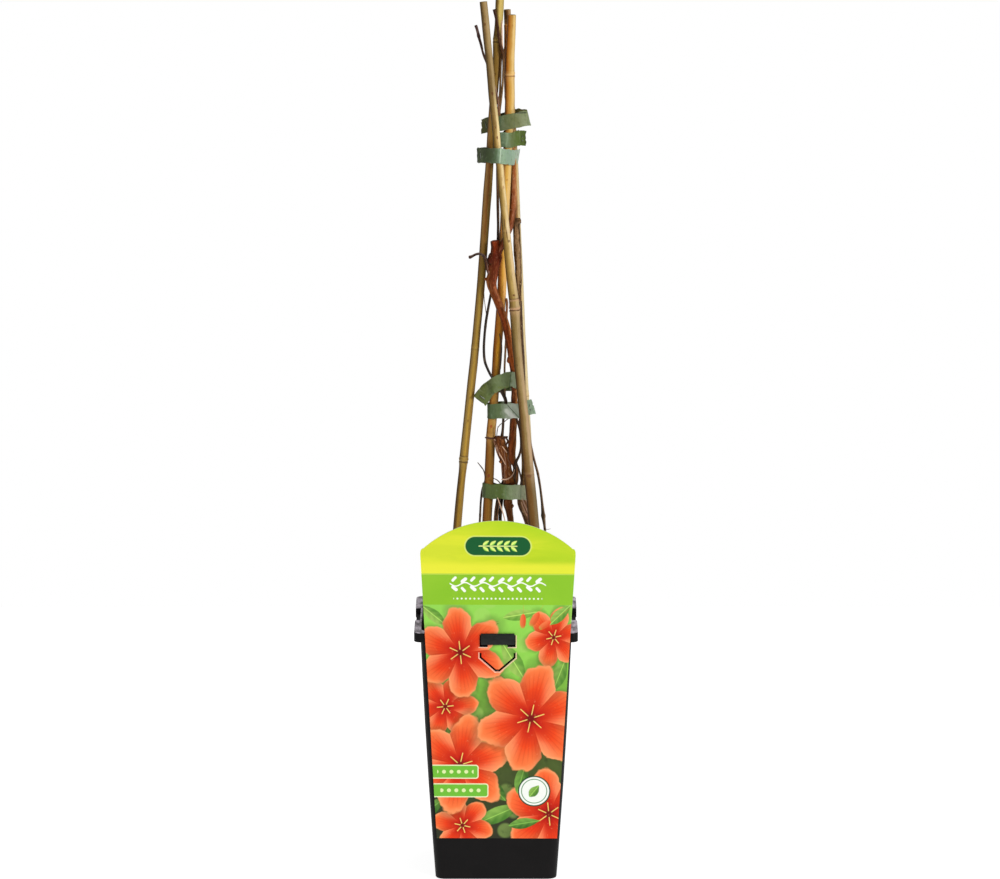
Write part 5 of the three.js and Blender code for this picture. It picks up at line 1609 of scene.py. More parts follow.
def make_ties():
    steel = metal_look("staple_steel", (140, 142, 138), None, 0.42, 1.0)
    for number, (name, tie) in enumerate(TIES.items()):
        look = tape_look(name, TAPE_COLOURS[name])
        tape = tape_mesh(name, tie, 20 * number)
        piece("tape_" + name[-1], tape, look, [name], sharp=70)
        piece("clip_" + name[-1], staple_mesh(tie), steel, ["staple_" + name[-1]])
    wire = metal_look("wire_rust", (64, 40, 32), (112, 66, 40), 0.55, 0.5)
    piece("wire_twist", wire_mesh(), wire, ["wire_tie"])


# ------------------------------------------------------------------------------------------------
# Pot and soil
# ------------------------------------------------------------------------------------------------

POT = {
    "height": 210, "foot": 49, "shoulder": 60, "shoulder_height": 203, "corner": 9.5,
    "rounding": 0.8, "wall": 1.2, "floor": 3.6,
}
WALL_BULGE = 0.9

# Half of how much wider the pot is than deep: at its foot, and what that gains upwards.
WIDENING = (0.3, 0.5)

# The half width past which a ring is on the lip, and how fast its corners tighten there.
LIP_HALF = 60.4
LIP_TIGHTENING = 1.1
NOTCH_HALF = 20.5
CORNER_STEPS = 14
FLAT_PLACES = (0, 5, 10, 15, 20.3, 20.7, 25, 30, 34)
DRAIN = {"inner": 20, "outer": 42, "depth": 2, "hole": 4.5, "count": 8}
HOOK_BOXES = [
    ((-12, 14.8), (-68, -64.2), (202.6, 208.2)), ((-12.2, 15), (-68.3, -67), (200.9, 210.2)),
]
HOOK_ROUNDING = 0.35

# The lip, going round it from under the wall's top: half width and height where the lip is full,
# then the same two where it is stepped down at a notch.
LIP_PROFILE = [
    (60, 203, 60, 203), (60.3, 208.2, 60.2, 204.2), (60.9, 208.8, 60.6, 204.5),
    (63.2, 208.8, 62.6, 204.5), (63.8, 208.3, 63, 204.3), (63.8, 202.5, 63, 202.5),
    (64.1, 202.2, 63.2, 202.2), (64.7, 202.2, 63.9, 202.2), (65, 202.6, 64.2, 202.5),
    (65, 209.1, 64.2, 205.2), (64.75, 209.75, 64.05, 205.6), (64.2, 210, 63.6, 205.7),
    (61.5, 210, 61.5, 205.7), (61, 210, 60.9, 206), (60.6, 210, 60.75, 209.6),
    (60, 210, 60.4, 210), (59.45, 209.85, 59.6, 210), (59.18, 209.4, 59.18, 209.6),
]
RIM_FOOT = 207.0
FOOT_HEIGHTS = (0, 0.2, 0.8, 2.0, 4.0, 30, 80, 130, 170, 196)
INSIDE_HEIGHTS = (206, 201, 196, 188, 120, 40, 6)

SOIL = {"surface": 195.4, "mound": (8, -2), "rise": 2.6, "spread": 30, "base": 4, "cells": 150}

# Each wave of the soil's surface: its height, its size and its seed.
SOIL_WAVES = ((1.1, 14, 61), (0.8, 5, 62), (0.55, 2.2, 63))

# What lies on it: how many, and the least and most of their thickness and of their length,
# which for a crumb is a share of its thickness. Then how far out they lie and how ragged,
# how many sides they have and at what shares of their length their rings are.
CRUMBS, CRUMB_SIZE, CRUMB_LENGTH = 520, (0.5, 1.9), (0.8, 1.4)
CHIPS, CHIP_SIZE, CHIP_LENGTH = 90, (0.7, 1.3), (3, 7)
CRUMB_FIELD = 55
CRUMB_RAGGED = 0.28
CRUMB_SIDES = 7
CRUMB_PLACES = (0, 0.35, 0.7, 1)


def wall_half(height):
    """Half the width of the pot's outside, which is rounded in at the foot."""
    share = height / POT["shoulder_height"]
    straight = POT["foot"] + (POT["shoulder"] - POT["foot"]) * share
    straight += WALL_BULGE * math.sin(math.pi * min(share, 1))
    above = min(height / POT["rounding"], 1)
    return straight - POT["rounding"] * (1 - math.sqrt(1 - (1 - above) ** 2))


def corner_of(half):
    """The corner radius of a ring: the wall's own, shrinking to the lip's."""
    wall = POT["corner"] * min(half, LIP_HALF) / POT["shoulder"]
    return wall - max(0, half - LIP_HALF) * LIP_TIGHTENING


def square_ring(half, height, notch=None, inset=0):
    """Points round a square with rounded corners, from its -Y side to the left. The other three
    sides take the notch's (half, height) near their middles. inset keeps the corners round."""
    radius = max(corner_of(half + inset) - inset, 2)
    flat = half - radius
    spots = []
    places = sorted({-p for p in FLAT_PLACES} | set(FLAT_PLACES))
    for side in range(4):
        for place in places:
            reach, rise = half, height
            if notch and side and abs(place) < NOTCH_HALF:
                reach, rise = notch
            spots.append((side, min(max(place, -flat), flat), -reach, rise))
        for step in range(CORNER_STEPS + 1):
            angle = step / CORNER_STEPS * math.pi / 2
            x = flat + radius * math.sin(angle)
            spots.append((side, x, -(flat + radius * math.cos(angle)), height))
    ring = []
    for side, x, y, z in spots:
        for _ in range(side):
            x, y = -y, x
        share = max(0, min(z / POT["shoulder_height"], 1))
        wider = WIDENING[0] + WIDENING[1] * share**0.7
        ring.append((x * (1 + wider / POT["shoulder"]), y, z))
    return ring


def loft(rings):
    """A closed mesh through rings of points, capped at both ends by fans."""
    rings = np.array(rings, float)
    zero = np.zeros(rings.shape[:2] + (2,))
    made = close_rings(rings, rings, zero)
    return {"verts": made["verts"], "faces": [face[::-1] for face in made["faces"]]}


def rounded_box(spans, rounding):
    """A box with every edge rounded, as one closed mesh."""
    work = bmesh.new()
    bmesh.ops.create_cube(work, size=1)
    for vert in work.verts:
        vert.co = [low + (share + 0.5) * (high - low) for share, (low, high) in zip(vert.co, spans)]
    edges = work.edges[:]
    bmesh.ops.bevel(work, geom=edges, offset=rounding, segments=3, affect="EDGES", profile=0.5)
    verts = [tuple(vert.co) for vert in work.verts]
    faces = [tuple(vert.index for vert in face.verts) for face in work.faces]
    work.free()
    return {"verts": np.array(verts), "faces": faces}


def pot_mesh():
    rings = [square_ring(wall_half(z), z) for z in FOOT_HEIGHTS]
    rings += [square_ring(half, z, (low, rise)) for half, z, low, rise in LIP_PROFILE]
    wall = POT["wall"]
    rings += [square_ring(wall_half(z) - wall, z, inset=wall) for z in INSIDE_HEIGHTS]
    rings += [square_ring(wall_half(POT["floor"]) - wall - 1, POT["floor"], inset=wall + 1)]
    return loft(rings)


def round_solid(radius, low, high, place=(0, 0), inner=0, sides=48):
    """A cylinder, or a ring where it has an inner radius, for cutting away."""
    angle = np.arange(sides) * 2 * math.pi / sides
    circle = np.stack([np.cos(angle), np.sin(angle), 0 * angle], -1)
    at = np.array([*place, 0.0])
    loops = [circle * radius + at + (0, 0, low), circle * radius + at + (0, 0, high)]
    if inner:
        loops += [circle * inner + at + (0, 0, high), circle * inner + at + (0, 0, low)]
    verts = np.concatenate(loops)
    count = len(loops)
    faces = []
    for i in range(count if inner else 1):
        low_row, high_row = i * sides, (i + 1) % count * sides
        for j in range(sides):
            k = (j + 1) % sides
            faces.append((low_row + j, low_row + k, high_row + k, high_row + j))
    if not inner:
        faces += [tuple(reversed(range(sides))), tuple(range(sides, 2 * sides))]
    return {"verts": verts, "faces": faces}


def cut_away(obj, parts):
    """Cuts closed meshes out of an object for good."""
    cutters = []
    for part in parts:
        mesh = bpy.data.meshes.new("cutter")
        mesh.from_pydata((part["verts"] * MM).tolist(), [], part["faces"])
        cutters.append(link(bpy.data.objects.new("cutter", mesh)))
        modifier = obj.modifiers.new("cut", "BOOLEAN")
        modifier.operation = "DIFFERENCE"
        modifier.object = cutters[-1]
        modifier.solver = "EXACT"
    seen = obj.evaluated_get(bpy.context.evaluated_depsgraph_get())
    mesh = bpy.data.meshes.new_from_object(seen)
    obj.modifiers.clear()
    obj.data = mesh
    for cutter in cutters:
        bpy.data.objects.remove(cutter)
    return obj


def drain_cutters():
    middle = (DRAIN["inner"] + DRAIN["outer"]) / 2
    made = [round_solid(DRAIN["outer"], -1, DRAIN["depth"], inner=DRAIN["inner"], sides=64)]
    for i in range(DRAIN["count"]):
        angle = (i + 0.5) * 2 * math.pi / DRAIN["count"]
        place = (middle * math.cos(angle), middle * math.sin(angle))
        made.append(round_solid(DRAIN["hole"], -1, POT["floor"] + 1, place, sides=28))
    return made


def pot_look():
    look = Look("pot_black")
    place = look.place()
    grain = look.noise(place, 1.6, 4, 0.6)
    wide = look.noise(place, 0.05, 3)
    dust = look.grain(place, 0.35, 0.35, 5, 0.7)
    look.colour = look.mix(wide, (12, 11, 11), (22, 20, 20))
    look.lay(look.smooth(0.6, 0.8, dust) * 0.2, (50, 46, 45))
    look.surface(look.smooth(0.0, 1.0, dust) * 0.15 + 0.42, 0.1)
    look.bump(grain * 0.6 + wide * 0.4, 0.25, 0.2)
    return look


def rim_look():
    """The lip's upper faces, painted grey-lilac in patches: a painted reflection of the bright room
    on the glossy lip.
    """
    look = Look("pot_rim_sheen")
    shine = look.noise(look.scaled(look.place(), (0.35, 0.12, 1)), 0.6, 4, 0.65)
    tones = [(0.36, (60, 55, 57)), (0.5, (170, 160, 169)), (0.62, (222, 212, 222))]
    look.colour = look.ramp(shine, tones)
    look.surface(0.3, 0.4)
    return look


def hook_look():
    """The tab in the label's window, a patchy dark grey-green, lighter than the pot's black."""
    look = Look("pot_hook")
    patchy = look.noise(look.scaled(look.place(), (0.5, 1, 1)), 0.5, 4, 0.6)
    look.colour = look.ramp(patchy, [(0.35, (20, 24, 20)), (0.65, (30, 34, 32))])
    look.surface(0.45, 0.2)
    return look


def soil_height(x, y):
    centre = SOIL["mound"]
    away = ((x - centre[0]) ** 2 + (y - centre[1]) ** 2) / SOIL["spread"] ** 2
    flat = np.stack([x, y, 0 * x], -1)
    waves = sum(tall * rough(flat, size, seed) for tall, size, seed in SOIL_WAVES)
    return SOIL["surface"] + SOIL["rise"] * np.exp(-away) + waves


def soil_mesh():
    """A crumbly top in square rings that shrink to the middle, over a plain body."""
    inset = POT["wall"] + 0.35
    base = [square_ring(wall_half(z) - inset, z, inset=inset) for z in (SOIL["base"], 100, 180)]
    rim = np.array(square_ring(wall_half(SOIL["surface"]) - inset, 0, inset=inset))
    rings = []
    for share in np.linspace(1, 0.01, SOIL["cells"] // 2):
        ring = rim * (share, share, 1)
        ring[:, 2] = soil_height(ring[:, 0], ring[:, 1])
        rings.append(ring)
    return loft(base + rings)


def crumb_meshes():
    """Loose crumbs and wood chips that lie on the soil."""
    chance = np.random.default_rng(11)
    made = []
    for number in range(CRUMBS + CHIPS):
        x, y = chance.uniform(-CRUMB_FIELD, CRUMB_FIELD, 2)
        chip = number >= CRUMBS
        size = chance.uniform(*(CHIP_SIZE if chip else CRUMB_SIZE))
        reach = chance.uniform(*(CHIP_LENGTH if chip else CRUMB_LENGTH))
        reach = reach if chip else size * reach
        height = float(soil_height(np.array(x), np.array(y))) + size * 0.25
        turn = chance.uniform(0, 2 * math.pi)
        ahead = np.array([math.cos(turn), math.sin(turn), chance.uniform(-0.25, 0.25)])
        middle = np.array([x, y, height])
        rows = [
            (*(middle + ahead * reach * (t - 0.5)), size * (0.6 + 0.4 * math.sin(math.pi * t)))
            for t in CRUMB_PLACES
        ]
        crumb = tube(rows, CRUMB_SIDES, reach / 3)
        shake = chance.uniform(-1, 1, crumb["verts"].shape)
        crumb["verts"] += CRUMB_RAGGED * size * shake
        crumb["skin"] = np.tile([x, y, 1.0 if chip else 0.0], (len(crumb["verts"]), 1))
        made.append(crumb)
    return made


def soil_look():
    look = Look("soil_peat")
    place = look.place()
    fine = look.noise(place, 1.1, 6, 0.75)
    wide = look.noise(place, 0.16, 3)
    look.colour = look.ramp(fine, [(0.3, (24, 17, 13)), (0.5, (48, 34, 25)), (0.72, (92, 68, 48))])
    look.lay(wide * 0.4, (36, 26, 20))
    look.surface(0.95)
    look.bump(fine, 1.0, 1.2)
    return look


def crumb_look():
    look = Look("soil_crumbs")
    x, y, chip = look.split(look.attribute("skin"))
    tone = look.noise(look.join(x, y, 0.0), 0.7, 2)
    crumb = look.ramp(tone, [(0.3, (38, 27, 20)), (0.7, (96, 70, 50))])
    wood = look.ramp(tone, [(0.3, (98, 66, 42)), (0.7, (168, 128, 88))])
    look.colour = look.mix(chip, crumb, wood)
    look.surface(0.9)
    look.bump(look.noise(look.place(), 2.0, 4, 0.7), 0.6, 0.4)
    return look


def make_pot():
    look = pot_look()
    pot = piece("pot_shell", pot_mesh(), [look, rim_look()], ["pot"], sharp=32)
    # The lip's upward faces take the rim look, a painted reflection.
    for face in pot.data.polygons:
        face.material_index = int(face.normal.z > 0.6 and face.center.z > RIM_FOOT * MM)
    cut_away(pot, drain_cutters())
    hook = joined([rounded_box(spans, HOOK_ROUNDING) for spans in HOOK_BOXES])
    piece("pot_hook", hook, hook_look(), ["pot"], sharp=32)
    piece("soil_body", soil_mesh(), soil_look(), ["soil"], sharp=60)
    piece("soil_crumbs", joined(crumb_meshes()), crumb_look(), ["soil"], sharp=40)


# ------------------------------------------------------------------------------------------------
# Label
# ------------------------------------------------------------------------------------------------

LABEL = {
    "centre": 1.3, "thick": 0.7, "lean": 4.8, "turn": 0.2, "lean_height": 203, "face": -65.33,
    "bottom": 34.9, "bottom_half": 48.9, "shoulder": 62.1, "peak": 304.7, "arch": 88, "fillet": 5,
}
WINDOW = {"half": 14.45, "top": 208.7, "bottom": 198.5, "bump": 7.4, "foot": 8.2, "rise": 2.9}
TONGUE = {
    "hinge": 193.6, "shoulder": 189.4, "tip": 177.8, "tip_half": 1.7, "half": 14.4, "slit": 1.5,
    "bend": 1.1,
}
EDGE_STEP = 1.5
LABEL_GRID = 4.0

# The sheet's slight waves: their depth, their size across and upwards, and the height
# where they start and the one where they are full.
WARP = {"depth": 0.25, "across": 19, "up": 37, "start": 215, "full": 275}


def mirrored(line):
    """A line's points on the other side, from its end to its start."""
    return [(-x, y) for x, y in reversed(line)]


def label_outline():
    """The flat outline as (x, height), counter-clockwise, with its arch and filleted shoulders."""
    corner, radius = LABEL["shoulder"], LABEL["arch"]
    reach = corner - LABEL["fillet"] / 2
    middle = LABEL["peak"] - radius
    end = math.acos(reach / radius)
    top = middle + radius * math.sin(end)
    low = top - LABEL["fillet"]
    arch = [
        (radius * math.cos(a), middle + radius * math.sin(a))
        for a in np.linspace(end, math.pi - end, 90)
    ]
    curve = [(1 - t, t) for t in np.linspace(0, 1, 7)[1:-1]]
    fillet = [
        (corner - (corner - reach) * t * t, low * s * s + top * (2 * s * t + t * t))
        for s, t in curve
    ]
    foot, bottom = LABEL["bottom_half"], LABEL["bottom"]
    right = [(foot, bottom), (corner, low), *fillet]
    return [(-foot, bottom), *right, *arch, *mirrored(fillet), (-corner, low)]


def window_outline():
    half, top, bottom = WINDOW["half"], WINDOW["top"], WINDOW["bottom"]
    lifted = bottom + WINDOW["rise"]
    return [
        (-half, top), (-half, bottom), (-WINDOW["foot"], bottom), (-WINDOW["bump"], lifted),
        (WINDOW["bump"], lifted), (WINDOW["foot"], bottom), (half, bottom), (half, top),
    ]


def slit_outline():
    half, tip_half, slit = TONGUE["half"], TONGUE["tip_half"], TONGUE["slit"]
    hinge, shoulder, tip = TONGUE["hinge"], TONGUE["shoulder"], TONGUE["tip"]
    inner, low = half - slit, shoulder + slit / 2
    inner_tip = tip_half - slit / 3
    outer = [(half, hinge), (half, shoulder), (tip_half, tip)]
    back = [(inner_tip, tip + slit), (inner, low), (inner, hinge)]
    return outer + mirrored(outer) + mirrored(back) + back


def spaced(outline, step):
    """The outline with points added so that none of its edges is longer than a step."""
    made = []
    for (x0, y0), (x1, y1) in zip(outline, outline[1:] + outline[:1]):
        count = max(1, math.ceil(math.hypot(x1 - x0, y1 - y0) / step))
        made += [(x0 + (x1 - x0) * i / count, y0 + (y1 - y0) * i / count) for i in range(count)]
    return made


def inside(points, outline):
    """Which points are inside an outline, by counting the edges to the right of each."""
    x, y = np.asarray(points, float).T
    found = np.zeros(len(x), bool)
    for (x0, y0), (x1, y1) in zip(outline, outline[1:] + outline[:1]):
        if y0 != y1:
            found ^= ((y0 > y) != (y1 > y)) & (x < x0 + (y - y0) * (x1 - x0) / (y1 - y0))
    return found


def on_label(points, outlines):
    """Which points are inside the first outline and outside the others."""
    whole, *holes = outlines
    return inside(points, whole) & ~np.any([inside(points, hole) for hole in holes], axis=0)


def tongue_press(x, height):
    """How far the tongue is pressed back at a place on the flat label."""
    hinge, shoulder, tip = TONGUE["hinge"], TONGUE["shoulder"], TONGUE["tip"]
    narrowing = np.clip((shoulder - height) / (shoulder - tip), 0, 1)
    edge = TONGUE["half"] + (TONGUE["tip_half"] - TONGUE["half"]) * narrowing - TONGUE["slit"] / 2
    fall = (hinge - height) / (hinge - tip)
    return np.where((np.abs(x) < edge) & (fall > 0) & (fall < 1), TONGUE["bend"] * fall, 0)


def label_mesh():
    lines = (label_outline(), window_outline(), slit_outline())
    outlines = [spaced(line, EDGE_STEP) for line in lines]
    points, edges = [], []
    for outline in outlines:
        start, count = len(points), len(outline)
        points += outline
        edges += [(start + i, start + (i + 1) % count) for i in range(count)]
    for height in (ARCH_FOOT, BAND_FOOT):
        start = len(points)
        points += [(x, height) for x in np.arange(-66, 67, LABEL_GRID).tolist()]
        edges += [(i, i + 1) for i in range(start, len(points) - 1)]
    across = np.arange(-60, 61, LABEL_GRID)
    upward = np.arange(LABEL["bottom"] + 2, LABEL["peak"], LABEL_GRID)
    field = np.stack(np.meshgrid(across, upward), -1).reshape(-1, 2)
    points += [tuple(point) for point in field[on_label(field, outlines)].tolist()]
    flat, _, faces, *_ = delaunay_2d_cdt([Vector(p) for p in points], edges, [], 0, 1e-5)
    flat = np.array([tuple(p) for p in flat])
    middles = np.array([flat[list(face)].mean(0) for face in faces])
    chosen = on_label(middles, outlines)
    kept = [tuple(face) for face, good in zip(faces, chosen) if good]
    count = len(flat)
    around = {(a, b) for face in kept for a, b in zip(face, face[1:] + face[:1])}
    walls = [(a, b) for a, b in sorted(around) if (b, a) not in around]
    all_faces = kept + [tuple(i + count for i in reversed(face)) for face in kept]
    all_faces += [(b, a, a + count, b + count) for a, b in walls]
    zones = [zone_of(*middle) for middle in middles[chosen]]
    zones += [len(ZONES)] * (len(all_faces) - len(kept))
    x, height = flat[:, 0], flat[:, 1]
    waves = WARP["depth"] * np.sin(x / WARP["across"]) * np.sin(height / WARP["up"])
    rise = (height - WARP["start"]) / (WARP["full"] - WARP["start"])
    depth = -tongue_press(x, height) + waves * np.clip(rise, 0, 1)
    front = np.stack([x, height - LABEL["lean_height"], depth + LABEL["thick"]], -1)
    back = front - (0, 0, LABEL["thick"])
    verts = stand_label(np.concatenate([front, back]))
    print_place = np.tile(np.stack([x, height, 0 * x], -1), (2, 1))
    part = {"verts": verts, "faces": all_faces, "print": print_place}
    part["rays"] = print_place * (0.22, 1, 1)
    return part, zones


def stand_label(points):
    """Turns the flat label a little, leans it on the lip and moves it there."""
    turn, lean = math.radians(-LABEL["turn"]), math.radians(90 + LABEL["lean"])
    x, y, z = points.T
    x, y = x * math.cos(turn) - y * math.sin(turn), x * math.sin(turn) + y * math.cos(turn)
    y, z = y * math.cos(lean) - z * math.sin(lean), y * math.sin(lean) + z * math.cos(lean)
    return np.stack([x + LABEL["centre"], y + LABEL["face"], z + LABEL["lean_height"]], -1)


# ------------------------------------------------------------------------------------------------
# The print on the label: bands, a vine scroll and a picture of blooms, all drawn by nodes
# ------------------------------------------------------------------------------------------------

# Each bloom: centre, radius, turn, how wide it is seen, and tone from 0 (deep) to 1 (light).
BLOOMS = [
    (42, 56, 40, 0.9, 0.94, 0.2), (-42, 148, 28, 0.4, 0.96, 0.2), (45, 207, 27, 1.3, 0.9, 0.35),
    (-28, 46, 27, 0.7, 0.96, 0.25), (-30, 98, 43, 2.2, 0.97, 0.45), (27, 138, 48, 0.2, 0.95, 0.5),
    (-30, 194, 39, 1.9, 0.95, 0.35),
]

# Each leaf: centre, half length, half width, direction in degrees and tone from 0 to 1.
LEAVES = [
    (-50, 150, 17, 5.5, 60, 0.3), (-12, 215, 15, 5, 20, 0.7), (12, 188, 19, 6.5, 120, 0.8),
    (50, 176, 15, 5.5, 70, 0.6), (56, 108, 16, 5.5, 100, 0.35), (2, 112, 17, 6, 150, 0.4),
    (-54, 60, 16, 5.5, 40, 0.25), (2, 56, 20, 6.5, 25, 0.5), (20, 88, 15, 5, 75, 0.3),
    (-4, 172, 14, 4.5, 165, 0.55), (18, 226, 14, 4.5, 10, 0.85), (-52, 226, 13, 4.5, 140, 0.75),
    (50, 226, 12, 4.5, 45, 0.7), (-2, 78, 14, 5, 130, 0.3), (22, 48, 13, 4.5, 10, 0.25),
]

# Each closed bud: its foot, length, half width and direction in degrees.
BUDS = [
    (26, 216, 13, 2.6, 60), (33, 214, 11, 2.4, 35), (20, 214, 12, 2.3, 88),
    (-8, 128, 12, 2.6, 65),
]

# The print is drawn by zones, as (left, right, low, high), and a mark is in each zone it reaches.
ARCH_FOOT, BAND_FOOT, PICTURE_FOOT = 266.0, 234.3, 36.0
ZONE_ROWS = 6
ZONE_MARGIN = 8.0
ZONE_EDGES = np.linspace(PICTURE_FOOT, BAND_FOOT, ZONE_ROWS + 1)
ARCH_ZONE, BAND_ZONE, FIRST_PICTURE_ZONE = 0, 1, 2
ZONES = [(-70, 70, ARCH_FOOT, 310), (-70, 70, BAND_FOOT, ARCH_FOOT)]
ZONES += [
    (left, left + 70, low, high)
    for low, high in zip(ZONE_EDGES, ZONE_EDGES[1:])
    for left in (-70, 0)
]

# Two tabs that start at the left edge, as middle, half width and half height, and a round badge.
TABS = [(-40, 92.2, 25, 6.0), (-36, 76.2, 29, 6.0)]
BADGE = (30, 75.7, 13.2)
BADGE_DISCS = [
    (1, (30, 70, 40)), (0.92, (240, 243, 236)), (0.8, (52, 130, 66)), (0.75, (240, 243, 236)),
]
MARK_REACH = 1.25

# Where the pale cut edge of the sheet is seen, as line pieces (x0, height0, x1, height1) in front
# of the tongue's slit, the same on both sides, and beside and under the window.
CUT_EDGES = [
    (15, 193.8, 15, 189.2, True), (15, 189.2, 2, 177.2, True), (2, 177.2, 0, 177.2, True),
    (14.9, 208.4, 14.9, 198.2, False), (14.9, 198.2, 8.4, 198.2, False),
    (-15, 198.2, -8.4, 198.2, False),
]
SHEET_SHINE = (0.38, 0.12)
PLAQUE, SCROLL, DOTS = 283.6, 251.5, 239.5
SCROLL_TURNS = 0.42
TAB_CORNER = 2.4
PETALS = 6
SOFT = 0.25


class Print(Look):
    """Shapes laid over one another on the flat label, in its own (x, height) millimetres."""

    def __init__(self, name):
        super().__init__(name)
        self.flat = self.attribute("print")
        self.x, self.y, _ = self.split(self.flat)
        self.ruffle = self.noise(self.flat, 0.35, 3, 0.6) - 0.5
        self.wave = self.noise(self.flat, 0.07, 2) - 0.5

    def band(self, low, high, colour, soft=SOFT):
        above = self.smooth(low - soft, low + soft, self.y)
        self.lay(above * self.smooth(high + soft, high - soft, self.y), colour)

    def turned(self, x, y, degrees):
        """The place measured from a point, along a direction and to its left."""
        angle = math.radians(degrees)
        dx, dy = self.x - x, self.y - y
        cos, sin = math.cos(angle), math.sin(angle)
        return dx * cos + dy * sin, dy * cos - dx * sin

    def disc(self, x, y, radius, colour):
        away = self.far(self.x - x, self.y - y)
        self.lay(self.smooth(radius + SOFT, radius - SOFT, away), colour)

    def capsule(self, x, y, half, tall, colour, soft=SOFT, degrees=0):
        """A bar with round ends."""
        along, across = self.turned(x, y, degrees)
        past = self.most(self.size(along) - (half - tall), 0.0)
        self.lay(self.smooth(tall + soft, tall - soft, self.far(past, across)), colour)

    def leaf(self, x, y, half, wide, degrees, tone):
        along, across = self.turned(x, y, degrees)
        share = along / half
        edge = (1 - share * share) * (1 - share * 0.25) * wide + self.ruffle * 0.8
        body = self.smooth(0.35, -0.35, self.size(across) - edge)
        body = body * self.smooth(1.05, 1.0, self.size(share))
        dark = (40 + 70 * tone, 84 + 86 * tone, 30 + 30 * tone)
        light = (96 + 80 * tone, 150 + 60 * tone, 60 + 40 * tone)
        shade = self.smooth(-wide, wide, across)
        ribs = self.sin((along + self.size(across)) * (14.0 / half)) * 0.12
        green = self.mix(self.least(self.most(shade + ribs, 0.0), 1.0), dark, light)
        vein = self.smooth(0.6, 0.2, self.size(across)) * 0.6
        green = self.mix(vein, green, [min(255, c * 1.25) for c in light])
        self.lay(body, green)

    def bud(self, x, y, length, wide, degrees):
        along, across = self.turned(x, y, degrees)
        share = along / length
        edge = self.root(self.most(share * (1.06 - share), 0.0)) * (wide * 2)
        body = self.smooth(0.3, -0.3, self.size(across) - edge)
        body = body * self.smooth(0.0, 0.1, share)
        red = self.ramp(share, [(0.0, (150, 170, 60)), (0.25, (214, 90, 40)), (1.0, (236, 70, 36))])
        red = self.mix(self.smooth(-wide, wide, across) * 0.5, red, (255, 150, 90))
        self.lay(body, red)

    def bloom(self, x, y, radius, turn, wide, tone):
        """Six broad, pointed petals round a deep throat, with veins, a lighter rim and stamens."""
        dx, dy = (self.x - x) / wide, self.y - y
        away = self.far(dx, dy) + 0.001
        angle = self.math("ARCTAN2", dy, dx)
        lobe = self.math("FRACT", angle * (PETALS / math.tau) + turn) - 0.5
        spread = self.size(lobe) * 2
        edge = (1 - spread**1.6 * 0.37 + self.wave * 0.3 + self.ruffle * 0.04) * radius
        share = away / edge
        self.lay(self.smooth(1.25, 0.9, share) * 0.5, (50, 62, 26))
        throat = (176 + 34 * tone, 20 + 16 * tone, 10)
        body = (228 + 16 * tone, 54 + 34 * tone, 18 + 10 * tone)
        rim = (246, 100 + 44 * tone, 48 + 32 * tone)
        petals = self.ramp(share, [
            (0.06, (120, 14, 12)), (0.2, throat), (0.55, body), (0.88, rim),
            (1.0, (252, 158, 100)),
        ])
        veins = self.sin(lobe * 58) * self.smooth(0.15, 0.5, share) * self.smooth(1.0, 0.7, share)
        petals = self.mix(self.smooth(0.2, 1.0, veins) * 0.2, petals, (190, 30, 14))
        overlap = self.smooth(0.16, 0.5, lobe) * self.smooth(0.2, 0.6, share)
        petals = self.mix(overlap * 0.5, petals, (166, 26, 12))
        petals = self.mix(self.smooth(0.1, 0.3, self.ruffle) * 0.35, petals, (255, 168, 116))
        sheen = self.smooth(-0.05, -0.4, lobe) * self.smooth(0.3, 0.8, share)
        petals = self.mix(sheen * 0.35, petals, (255, 176, 126))
        self.lay(self.smooth(1.02, 0.965, share), petals)
        out = away / radius
        stamens = self.smooth(0.55, 0.25, self.size(lobe) * away)
        stamens = stamens * self.smooth(0.26, 0.24, out) * self.smooth(0.05, 0.08, out)
        self.lay(stamens * 0.9, (246, 214, 110))

    def cut_edge(self, x0, y0, x1, y1, both_sides):
        x = self.size(self.x) if both_sides else self.x
        away = self.line_distance(x, self.y, (x0, y0), (x1, y1))
        self.lay(self.smooth(0.6, 0.25, away) * 0.75, (250, 204, 176))

    def repeats(self, value, step):
        """The distance from the nearest of a row of places, one to a step."""
        return self.size(self.math("FRACT", value / step) - 0.5) * step

    def tab(self, x, y, half, tall):
        self.rounded(x, y, half, tall, TAB_CORNER, (232, 238, 190))
        self.rounded(x, y, half - 0.9, tall - 0.9, TAB_CORNER - 0.8, (112, 186, 56))
        dots = self.repeats(self.x - x, 6.0)
        middle = x + half * 0.25
        row = self.smooth(1.8, 1.4, self.far(dots, self.y - y))
        row = row * self.smooth(half * 0.6, half * 0.6 - 0.5, self.size(self.x - middle))
        self.lay(row, (222, 236, 170))

    def rounded(self, x, y, half, tall, corner, colour):
        """A box with rounded corners."""
        past_x = self.most(self.size(self.x - x) - (half - corner), 0.0)
        past_y = self.most(self.size(self.y - y) - (tall - corner), 0.0)
        self.lay(self.smooth(corner + SOFT, corner - SOFT, self.far(past_x, past_y)), colour)

    def badge(self, x, y, radius):
        for share, colour in BADGE_DISCS:
            self.disc(x, y, radius * share, colour)
        self.leaf(x, y, 6.4, 3.6, 52, 0.5)


